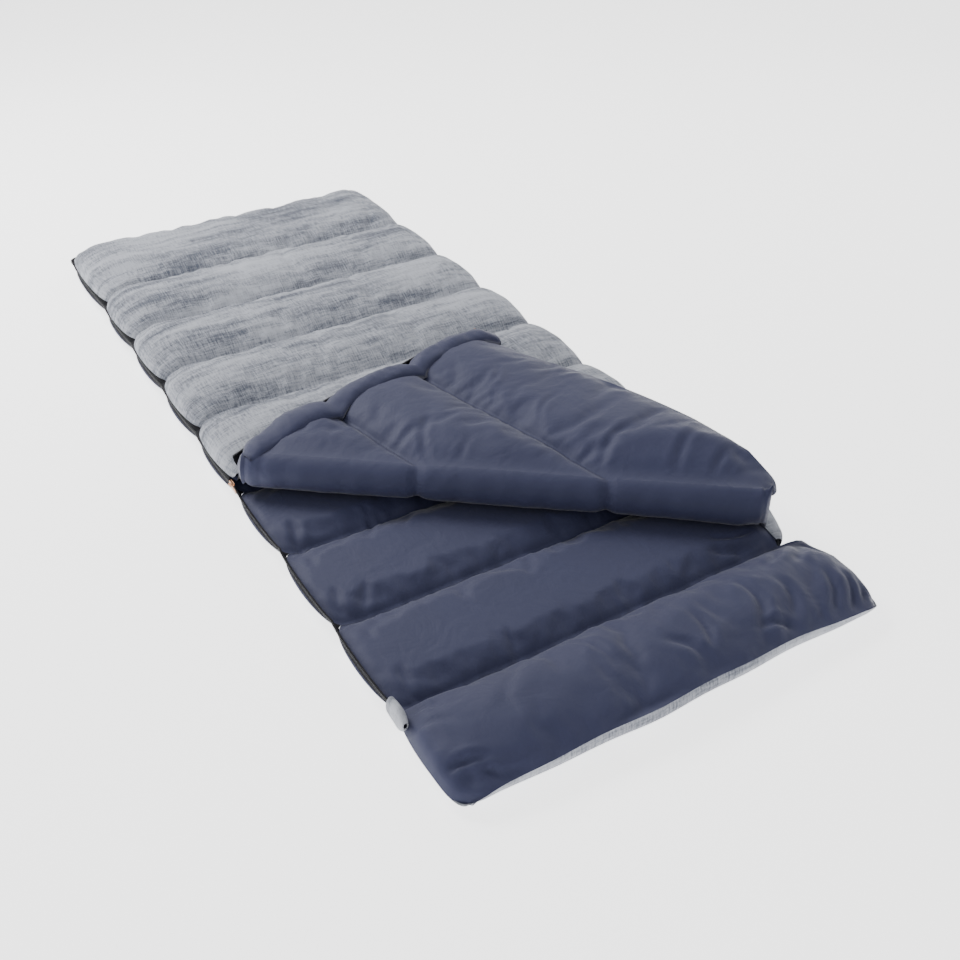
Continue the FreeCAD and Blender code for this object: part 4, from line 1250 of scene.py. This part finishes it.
def finish(name):
    return bpy.data.materials[name]


class BAG_OT_base_cover(Operator):
    """Makes the base: the puffed lining with its pillow panel, and the shell underneath"""

    bl_idname = "bag.base_cover"
    bl_label = "Base cover"

    def execute(self, context):
        self.lining()
        self.shell()
        return {"FINISHED"}

    def lining(self):
        """The upper cloth: eight channels and the pillow panel in one sheet."""
        size = sizes()
        xs = stations(ZIP_X, SIDE_X, size.cloth_step)
        ys = stations(HEAD_Y, FOOT_Y, size.cloth_step, BASE_LINES)
        obj = flat_cloth("base_lining_cover", xs, ys)
        flat = cloth_places(obj)
        x = ZIP_X + (flat[:, 0] - ZIP_X) * (right_edge(flat[:, 1]) - ZIP_X) / (SIDE_X - ZIP_X)
        y = flat[:, 1]
        z = base_sheet(x, y)
        moved_x, moved_y = round_head(*lay_out(x, y, BASE_LINES, size.edge_wave))
        move_to(obj, np.stack([moved_x, moved_y, z], axis=1))
        border = (flat[:, 0] < ZIP_X + 1e-5) | (flat[:, 0] > SIDE_X - 1e-5)
        border |= (y < HEAD_Y + 1e-5) | (y > FOOT_Y - 1e-5)
        seam = np.min(np.abs(y[:, None] - BASE_LINES[None, :]), axis=1) < 1e-5
        blow_up(obj, border | seam, pressure=2.6, slack=0.030, limit=0.012)
        refine(obj, BASE_LINES)
        flat, co = cloth_places(obj), places(obj)
        seed = bpy.context.scene.bag_stage.seed
        hem = away_from_edges(flat[:, 0], flat[:, 1], HEAD_Y)
        co[:, 2] += (gathers(flat, BASE_LINES, seed, 0.0013) + groove(flat, BASE_LINES)) * hem
        co[:, 2] += 0.0016 * uneven(flat[:, 0], flat[:, 1], seed + 1, 0.12) * hem
        for start, end, width, depth in BASE_CREASES:
            co[:, 2] += crease(flat, start, end, width, depth) * hem
        ceiling = np.where(flat[:, 1] < MOUTH_Y, 0.072, 0.0425)
        co[:, 2] = np.minimum(co[:, 2], ceiling)
        move_to(obj, co)
        wear(obj, "lining")
        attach(obj, "base")
        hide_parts("base_lining", "base_batt", "pillow_batt")

    def shell(self):
        """The lower cloth, turned up along its outer edges to meet the lining."""
        size = sizes()
        turn, step = 0.030, 0.012
        upturn = turn * np.linspace(0, 1, 9)
        xs = np.concatenate([ZIP_X + upturn, stations(ZIP_X + turn, SIDE_X, step)[1:]])
        ys = stations(HEAD_Y + turn, FOOT_Y - turn, step, BASE_LINES)
        ys = np.concatenate([HEAD_Y + upturn, ys[1:], FOOT_Y - upturn[::-1][1:]])
        obj = flat_cloth("base_shell_cover", xs, ys)
        flat = cloth_places(obj)
        x = ZIP_X + (flat[:, 0] - ZIP_X) * (right_edge(flat[:, 1]) - ZIP_X) / (SIDE_X - ZIP_X)
        y = flat[:, 1]
        pillow = 1 - smooth((y - PILLOW_SEAM + 0.014) / 0.014)
        left, head, foot = (np.clip(t / turn, 0, 1) for t in (x - ZIP_X, y - HEAD_Y, FOOT_Y - y))
        right = np.clip((right_edge(y) - x) / turn, 0, 1) * pillow + (1 - pillow)
        up = 1 - np.minimum(np.minimum(left, right), np.minimum(head, foot))
        z = base_rim(x, y) * up**1.35
        z = z + 0.007 * (1 - puff(lanes(y, BASE_LINES)[1])) * (1 - up)
        sag = 0.55 + 0.45 * np.sin(math.tau * x / 0.23 + 1.1) * np.cos(math.tau * x / 0.41)
        z = z + 0.0035 * sag * np.exp(-((y - HEAD_Y) / 0.03) ** 2) * np.clip(1 - up, 0, 1)
        middle = np.clip((x - ZIP_X) / (PILLOW_X - ZIP_X), 0, 1)
        new_x, new_y = round_head(*lay_out(x, y, BASE_LINES, size.edge_wave))
        new_x = new_x + belly(left, 0.005) - belly(right, 0.006) * pillow
        new_y = new_y + belly(head, 0.014) * (0.35 + 0.65 * np.sin(math.pi * middle) ** 0.6)
        new_y = new_y - belly(foot, 0.004)
        move_to(obj, np.stack([new_x, new_y, z], axis=1))
        obj.data.flip_normals()
        wear(obj, "shell")
        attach(obj, "base")
        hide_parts("base_shell")


def belly(t, width):
    """How far a turned-up edge bulges out, from its foot at 0 to its seam at 1."""
    return -width * np.sin(math.pi * np.clip(t, 0, 1)) ** 0.8


def quilt_plan(x, y):
    """Lays the quilt's flat cloth out in plan and rounds the flap's corner."""
    x, y = lay_out(x, y, QUILT_LINES, sizes().edge_wave)
    return round_corner(x, y, SIDE_X, MOUTH_Y, -1, 1, FLAP_CORNER)


def quilt_cloth(name, side):
    """One cloth of the quilt and flap, blown up with the flap closed: side 1 is the shell, -1 the lining."""
    size = sizes()
    xs = stations(ZIP_X, SIDE_X, size.cloth_step)
    ys = stations(MOUTH_Y, FOOT_Y, size.cloth_step, QUILT_LINES)
    obj = flat_cloth(name, xs, ys)
    flat = cloth_places(obj)
    x, y = flat[:, 0], flat[:, 1]
    z = quilt_sheet(x, y, side) * side
    move_to(obj, np.stack([*quilt_plan(x, y), z], axis=1))
    border = (x < ZIP_X + 1e-5) | (x > SIDE_X - 1e-5) | (y < MOUTH_Y + 1e-5) | (y > FOOT_Y - 1e-5)
    seam = np.min(np.abs(y[:, None] - QUILT_LINES[None, :]), axis=1) < 1e-5
    blow_up(obj, border | seam, pressure=3.0, slack=0.026, limit=0.010)
    refine(obj, QUILT_LINES)
    flat, co = cloth_places(obj), places(obj)
    x, y = flat[:, 0], flat[:, 1]
    seed = bpy.context.scene.bag_stage.seed + 20 * (side + 2)
    hem = away_from_edges(x, y, MOUTH_Y)
    if side < 0:
        even = np.stack([*quilt_plan(x, y), quilt_sheet(x, y, side) * side], axis=1)
        near_fold = 1 - smooth((np.abs(fold_side(x, y)) - 0.006) / 0.05)
        co += (even - co) * near_fold[:, None]
        co[:, 2] += groove(flat, QUILT_LINES) * hem * near_fold
        hem = hem * (1 - near_fold)
    co[:, 2] += (gathers(flat, QUILT_LINES, seed, 0.0013) + groove(flat, QUILT_LINES)) * hem
    co[:, 2] += 0.0015 * uneven(x, y, seed + 1, 0.13) * hem
    if side < 0:
        for start, end, width, depth in FLAP_CREASES:
            co[:, 2] += crease(flat, start, end, width, 0.7 * depth) * hem
    co[:, 2] *= side
    shell, lining = quilt_sheet(x, y, 1), quilt_sheet(x, y, -1)
    thick = shell - lining
    middle, apart = (shell + lining) / 2, np.maximum(0.15 * thick, 0.0008 * smooth(thick / 0.002))
    if side > 0:
        lying = np.maximum(under_flap(x, y), fold_side(x, y) > 0)
        co[:, 2] = np.minimum(co[:, 2], 0.0881 + 0.03 * (1 - lying))
        co[:, 2] = np.maximum(co[:, 2], middle + apart)
    else:
        co[:, 2] = np.clip(co[:, 2], np.where(fold_side(x, y) > 0, 0.012, 0.0432), middle - apart)
    bulge = 0.030 * np.sin(math.pi * np.clip((x - ZIP_X - 0.12) / (SIDE_X - ZIP_X - 0.10), 0, 1)) ** 1.1
    co[:, 1] -= bulge * (1 - smooth((y - MOUTH_Y) / 0.14))
    move_to(obj, co)
    if side < 0:
        obj.data.flip_normals()
    return obj


# Cloth, carrying body and replaced nodes of each piece that the quilt is cut into. The roll has two bodies.
QUILT_PIECES = (
    ("shell", "quilt", "quilt_shell", "quilt_batt"),
    ("shell", "flap", "flap_shell", "flap_batt"),
    ("lining", "quilt", "quilt_lining"),
    ("lining", "flap", "flap_lining"),
    ("lining", None, "fold_shell", "fold_batt", "fold_lining"),
)


class BAG_OT_quilt_cover(Operator):
    """Makes the quilt and its folded-back flap: shell, lining, and the stitches that quilt them"""

    bl_idname = "bag.quilt_cover"
    bl_label = "Quilt cover"

    def execute(self, context):
        shell = quilt_cloth("quilt_shell", 1)
        lining = quilt_cloth("quilt_lining", -1)
        self.stitches(shell, lining)
        right_shell, right_lining = boundary(shell), boundary(lining)
        pieces = fold_over(shell, ("quilt_shell_cover", "flap_shell_cover"))
        pieces += fold_over(lining, ("quilt_lining_cover", "flap_lining_cover", "fold_roll"), 14)
        for piece, (cloth, body, *nodes) in zip(pieces, QUILT_PIECES):
            cloth_map(piece)
            dress(piece, finish(CLOTH_FINISH[cloth]))
            if body is None:
                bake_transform(piece, "flap", "quilt", start=(0, 0, 0.1100), end=(0, 0, 0.0665))
            else:
                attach(piece, body)
            if body == "flap":
                ease_flap(piece)
            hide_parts(*nodes)
        side_fold(right_shell)
        side_strip(right_lining)
        return {"FINISHED"}

    def stitches(self, shell, lining):
        """Both faces' rows of stitches, on the quilt and on the flap."""
        for name, body, cloths, on_flap, nodes in (
            ("quilt_stitches", "quilt", ((shell, 1.0), (lining, -1.0)), False, ("quilt_quilting_thread",)),
            ("flap_shell_stitches", "flap", ((shell, 1.0),), True, ()),
            ("flap_lining_stitches", "flap", ((lining, -1.0),), True, ("flap_quilting_thread",)),
        ):
            spots, ways, ups = [], [], []
            for obj, up in cloths:
                for line in INNER_SEAMS:
                    at, way = even_points(seam_line(obj, line), sizes().stitch_pitch)
                    past = fold_side(at[:, 0], at[:, 1])
                    keep = past > 0.003 if on_flap else past < -0.003
                    spots.append(at[keep] + np.array([0, 0, up * 0.0004]))
                    ways.append(way[keep])
                    ups.append(np.tile([0.0, 0.0, up], (int(keep.sum()), 1)))
            obj = beads(name, np.concatenate(spots), np.concatenate(ways), np.concatenate(ups), STITCH)
            if on_flap:
                move_to(obj, half_turn(places(obj)))
            dress(obj, finish("quilting_thread"))
            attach(obj, body)
            if on_flap:
                ease_flap(obj)
            if nodes:
                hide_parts(*nodes)


def ease_flap(obj):
    """Gives the flap piece a mesh of its own. The flap's filling settling back to the quilt's thickness as
    it closes is not shaped here.
    """
    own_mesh(obj)


def boundary(obj):
    """The cloth's edge along the side fold, from the mouth to the foot, as (y, z)."""
    flat, co = cloth_places(obj), places(obj)
    on = flat[:, 0] > SIDE_X - 1e-5
    order = np.argsort(co[on][:, 1])
    return co[on][order][:, 1:]


def side_fold(edge):
    """The rounded side where the shell wraps from under the base to the top of the quilt."""
    ring = 18
    ys, tops = edge[:, 0], edge[:, 1]
    obj = flat_cloth("side_fold_cover", np.linspace(0, 1, ring + 1), ys)
    flat = cloth_places(obj)
    turn, y = flat[:, 0] * math.pi, flat[:, 1]
    top = np.minimum(np.interp(y, ys, tops), side_top(y))
    across = lanes(y, QUILT_LINES)[1]
    bottom = 0.007 * (1 - puff(across)) + sizes().base_rim * (1 - ease(FOOT_Y - y, 0.03))
    bulge = SIDE_RADIUS * (0.74 + 0.24 * puff(across)) * ease(y - MOUTH_Y, 0.055) * ease(FOOT_Y - y, 0.06)
    seed = bpy.context.scene.bag_stage.seed
    bulge = bulge * (1 + 0.05 * uneven(turn * 0.05, y, seed + 5, 0.09))
    middle, half = (top + bottom) / 2, (top - bottom) / 2
    x = SIDE_X + bulge * np.sin(turn)
    z = middle - half * np.cos(turn)
    move_to(obj, np.stack([x, y, z], axis=1))
    flat[:, 0] = SIDE_X + SIDE_RADIUS * (math.pi - turn)
    lay_flat_at(obj, flat)
    wear(obj, "shell")
    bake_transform(obj, "base", "quilt", start=(0, 0, 0.0105), end=(0, 0, 0.0695))
    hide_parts("side_fold_shell", "side_fold_batt")


def side_strip(edge):
    """The lining that joins base and quilt inside the side fold."""
    ys, tops = edge[:, 0], edge[:, 1]
    obj = flat_cloth("side_lining_strip", np.linspace(0, 1, 2), ys)
    flat = cloth_places(obj)
    y = flat[:, 1]
    low = base_sheet(np.full_like(y, SIDE_X), y)
    high = np.minimum(np.interp(y, ys, tops), side_top(y))
    z = np.where(flat[:, 0] > 0.5, high, np.minimum(low, side_top(y) - 0.002))
    move_to(obj, np.stack([np.full_like(y, SIDE_X), y, z], axis=1))
    obj.data.flip_normals()
    wear(obj, "lining")
    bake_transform(obj, "base", "quilt", start=(0, 0, 0.0430), end=(0, 0, 0.0434))
    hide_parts("side_fold_lining")


class BAG_OT_base_stitches(Operator):
    """Sews the rows of stitches along the base's quilting seams"""

    bl_idname = "bag.base_stitches"
    bl_label = "Base stitches"

    def execute(self, context):
        cover = bpy.data.objects["base_lining_cover"]
        spots, ways = [], []
        for line in [PILLOW_SEAM, *INNER_SEAMS]:
            at, way = even_points(seam_line(cover, line), sizes().stitch_pitch)
            spots.append(at + np.array([0, 0, 0.0004]))
            ways.append(way)
        spots, ways = np.concatenate(spots), np.concatenate(ways)
        ups = np.tile([0.0, 0.0, 1.0], (len(spots), 1))
        obj = beads("base_stitches", spots, ways, ups, STITCH)
        dress(obj, finish("quilting_thread"))
        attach(obj, "base")
        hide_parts("base_quilting_thread")
        return {"FINISHED"}


def zip_route(start, end):
    """Places along the zip's centre line, from y = start round the foot corner to x = end."""
    radius = 0.020
    foot = FOOT_Y + ZIP_X - COIL_X
    side = [(COIL_X, y) for y in stations(start, foot - radius, 0.004)]
    bend = [
        (COIL_X + radius - radius * math.cos(t), foot - radius + radius * math.sin(t))
        for t in np.linspace(0, math.pi / 2, 9)[1:]
    ]
    back = [(x, foot) for x in stations(COIL_X + radius, end, 0.004)[1:]]
    return np.array(side + bend + back)


def coil_sway(y):
    """The coil follows part of the wave of the sewn edge, within the slider's width."""
    side = smooth((FOOT_Y - 0.03 - y) / 0.03)
    return edge_bulge(y, BASE_LINES, sizes().edge_wave * 0.24) * side


def tape_strip(name, route, coil_z, rim, inward):
    """A woven tape from the coil to the sewn edge that it is stitched to."""
    steps = 5
    run = np.concatenate([[0.0], np.cumsum(np.hypot(*np.diff(route, axis=0).T))])
    obj = flat_cloth(name, np.linspace(0, 1, steps + 1), run)
    flat = cloth_places(obj)
    t, s = flat[:, 0], flat[:, 1]
    x = np.interp(s, run, route[:, 0])
    y = np.interp(s, run, route[:, 1])
    way = np.stack([np.gradient(route[:, 0]), np.gradient(route[:, 1])], axis=1)
    way /= np.linalg.norm(way, axis=1, keepdims=True)
    in_x = np.interp(s, run, way[:, 1])
    in_y = np.interp(s, run, -way[:, 0])
    side = smooth((FOOT_Y - 0.03 - y) / 0.03)
    sway = coil_sway(y)
    gap = (ZIP_X - COIL_X) + inward - edge_bulge(y, BASE_LINES, sizes().edge_wave) * side + sway
    edge_z = rim(x, y)
    start_z = np.interp(s, run, coil_z)
    x = x - sway
    arc = np.sin(t * math.pi / 2)
    reach = gap * t**1.5
    z = start_z + (edge_z - start_z) * arc
    move_to(obj, np.stack([x + in_x * reach, y + in_y * reach, z], axis=1))
    flat[:, 0] *= 0.018
    lay_flat_at(obj, flat)
    thick = obj.modifiers.new("thickness", "SOLIDIFY")
    thick.thickness, thick.offset = 0.0009, 0.0
    shade_smooth(obj)
    cloth_map(obj)
    dress(obj, finish("zip_tape_cloth"))
    return obj


def coil_row(name, route, z):
    """The row of nylon turns along one zip half."""
    path = np.column_stack([route[:, 0] - coil_sway(route[:, 1]), route[:, 1], z])
    spots, ways = even_points(path, sizes().tooth_pitch)
    ups = np.tile([0.0, 0.0, 1.0], (len(spots), 1))
    across = np.cross(ups, ways)
    obj = beads(name, spots, across, ups, COIL_TURN)
    dress(obj, finish("nylon_coil"))
    return obj


class BAG_OT_zip(Operator):
    """Makes the zip: woven tapes, both rows of the coil, and the finishes of its metal parts"""

    bl_idname = "bag.zip"
    bl_label = "Zip"

    def execute(self, context):
        half = 0.0013
        for body, rise, rim in (("base", -half, base_seam), ("quilt", half, quilt_rim)):
            low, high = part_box(body + "_zip_coil")
            route = zip_route(low.y, high.x)
            for piece in self.half(body, route, np.full(len(route), COIL_Z + rise), rim):
                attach(piece, body)
        for piece in self.flap_half(half):
            move_to(piece, half_turn(places(piece)))
            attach(piece, "flap")
        for node in ("slider_body", "pull_tab", "base_top_stop", "flap_top_stop"):
            repaint(node, "coppery_zip_metal")
        for node in ("zip_end_box", "quilt_zip_pin"):
            repaint(node, "nylon_coil")
        return {"FINISHED"}

    def half(self, body, route, height, rim):
        """One half of the zip: its tape, sewn to the rim, and its coil."""
        tape = tape_strip(body + "_tape", route, height, rim, 0.002)
        coil = coil_row(body + "_coil", route, height)
        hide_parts(body + "_zip_tape")
        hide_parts(body + "_zip_coil")
        return tape, coil

    def flap_half(self, half):
        """The flap's half of the zip, closed; it rises with the flap's edge towards the fold."""
        end = FOLD_PIVOT.y - 0.004
        start = PILLOW_SEAM + 0.010
        route = np.array([(COIL_X, y) for y in stations(start, end, 0.004)])
        away = FOLD_PIVOT.y - route[:, 1]
        rise = np.maximum(quilt_rim(np.full(len(away), ZIP_X), route[:, 1]) - 0.056, 0)
        rise = rise * (1 - smooth(away / 0.30))
        return self.half("flap", route, COIL_Z + half + 0.85 * rise, settled_rim)


def base_seam(x, y):
    """Where the base's zip tape is sewn, just above the base's edge."""
    return base_rim(x, y) + 0.001


def settled_rim(x, y):
    """Where the flap's sewn edge comes to lie once the flap is closed."""
    return FOLD_PIVOT.z - (FOLD_PIVOT.z - quilt_rim(x, y)) * FLAP_KEEP


def repaint(node, material):
    """Gives a CAD node that stays in view its finish."""
    mesh = frame["nodes"][node].data
    mesh.materials.clear()
    mesh.materials.append(finish(material))
    frame["nodes"][node].material_slots[0].link = "DATA"


def tube(name, low, high, middle_x, top, width, height, seed):
    """A padded draught tube along the zip, closed at both ends, hanging below the height top."""
    ring = 20
    ys = stations(low, high, 0.008)
    obj = flat_cloth(name, np.linspace(0, 1, ring + 1), ys)
    flat = cloth_places(obj)
    turn, y = flat[:, 0] * math.tau, flat[:, 1]
    lump = 1 + 0.10 * uneven(y, 0 * y, seed, 0.11) + 0.05 * uneven(turn * 0.02, y, seed + 1, 0.03)
    end = np.minimum(ease(y - low + 0.0012, 0.010), ease(high - y + 0.0008, 0.035))
    half_w = width(y) / 2 * (0.35 + 0.65 * end) * (0.5 + 0.5 * lump)
    half_h = height / 2 * end * lump
    x = middle_x(y) + half_w * np.cos(turn)
    z = top(y) - half_h + half_h * np.sin(turn)
    move_to(obj, np.stack([x, y, z], axis=1))
    flat[:, 0] = middle_x(y) + (flat[:, 0] - 0.5) * 0.11
    lay_flat_at(obj, flat)
    sew_shut(obj, capped=True)
    wear(obj, "lining")
    return obj


class BAG_OT_draught_tubes(Operator):
    """Makes the padded tubes that back the zip on the quilt and on the flap"""

    bl_idname = "bag.draught_tubes"
    bl_label = "Draught tubes"

    def execute(self, context):
        flap = tube(
            "flap_draught_roll",
            low=MOUTH_Y - 0.014,
            high=FOLD_PIVOT.y - 0.012,
            middle_x=lambda y: ZIP_X + 0.028 - 0.85 * edge_bulge(y, QUILT_LINES, sizes().edge_wave),
            top=lambda y: quilt_sheet(np.full_like(y, ZIP_X + 0.022), y, -1) + 0.010,
            width=lambda y: 0.050 + 0.014 * np.exp(-(((y + 0.30) / 0.09) ** 2)),
            height=0.030,
            seed=31,
        )
        move_to(flap, half_turn(places(flap)))
        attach(flap, "flap")
        ease_flap(flap)
        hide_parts("flap_draught_tube", "flap_draught_filling")
        low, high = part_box("quilt_draught_tube")
        quilt = tube(
            "quilt_draught_roll",
            low=low.y,
            high=high.y,
            middle_x=lambda y: (low.x + high.x) / 2 + 0.002 * np.sin(y * 17),
            top=lambda y: np.full_like(y, high.z),
            width=lambda y: np.full_like(y, high.x - low.x),
            height=high.z - low.z,
            seed=37,
        )
        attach(quilt, "quilt")
        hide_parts("quilt_draught_tube", "quilt_draught_filling")
        return {"FINISHED"}


class BAG_OT_garage(Operator):
    """Makes the padded cloth tab that covers the upper end of the zip"""

    bl_idname = "bag.garage"
    bl_label = "Zip garage"

    def execute(self, context):
        low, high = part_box("zip_garage")
        ring, length = 20, high.y - low.y
        obj = flat_cloth("zip_garage_tab", np.linspace(0, 1, ring + 1), stations(0.0, length, 0.003))
        flat = cloth_places(obj)
        turn, s = flat[:, 0] * math.tau, flat[:, 1]
        end = ease(s + 0.0006, 0.020)
        half_w = (high.x - low.x) / 2 * (0.35 + 0.65 * end) * 1.15
        half_h = (high.z - low.z) / 2 * end * (1 - 0.22 * smooth((s - 0.6 * length) / (0.4 * length)))
        middle_x, middle_z = (low.x + high.x) / 2, (low.z + high.z) / 2
        lump = 1 + 0.06 * uneven(turn * 0.01, s, 51, 0.03)
        shape = np.abs(np.sin(turn)) ** 0.8 * np.sign(np.sin(turn))
        x = middle_x + half_w * np.cos(turn) * lump
        z = middle_z + half_h * shape
        move_to(obj, np.stack([x, low.y + s, z], axis=1))
        flat[:, 0] = middle_x + (flat[:, 0] - 0.5) * 0.10
        flat[:, 1] = low.y + s
        lay_flat_at(obj, flat)
        sew_shut(obj, capped=False)
        thick = obj.modifiers.new("thickness", "SOLIDIFY")
        thick.thickness, thick.offset = 0.0012, -1.0
        wear(obj, "shell")
        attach(obj, "base")
        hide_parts("zip_garage")
        return {"FINISHED"}


class BAG_PT_sleeping_bag(Panel):
    """Lists every step of the sleeping bag"""

    bl_idname = "BAG_PT_sleeping_bag"
    bl_label = "Sleeping bag"
    bl_space_type = "VIEW_3D"
    bl_region_type = "UI"
    bl_category = "Sleeping bag"

    def draw(self, context):
        layout = self.layout
        for group in (context.scene.bag_sizes, context.scene.bag_colours, context.scene.bag_stage):
            box = layout.box()
            for name in group.__annotations__:
                box.prop(group, name)
        for step in STEPS:
            layout.operator(step.bl_idname)


GROUPS = (BagSizes, BagColours, BagStage)
STEPS = (
    BAG_OT_stage,
    BAG_OT_materials,
    BAG_OT_base_cover,
    BAG_OT_quilt_cover,
    BAG_OT_base_stitches,
    BAG_OT_zip,
    BAG_OT_draught_tubes,
    BAG_OT_garage,
)


def register():
    for cls in (*GROUPS, *STEPS, BAG_PT_sleeping_bag):
        bpy.utils.register_class(cls)
    bpy.types.Scene.bag_sizes = PointerProperty(type=BagSizes)
    bpy.types.Scene.bag_colours = PointerProperty(type=BagColours)
    bpy.types.Scene.bag_stage = PointerProperty(type=BagStage)


def unregister():
    del bpy.types.Scene.bag_stage
    del bpy.types.Scene.bag_colours
    del bpy.types.Scene.bag_sizes
    for cls in reversed((*GROUPS, *STEPS, BAG_PT_sleeping_bag)):
        bpy.utils.unregister_class(cls)


def main():
    register()
    bpy.ops.bag.stage()
    bpy.ops.bag.materials()
    bpy.ops.bag.base_cover()
    bpy.ops.bag.quilt_cover()
    bpy.ops.bag.base_stitches()
    bpy.ops.bag.zip()
    bpy.ops.bag.draught_tubes()
    bpy.ops.bag.garage()


if __name__ == "__main__":
    main()
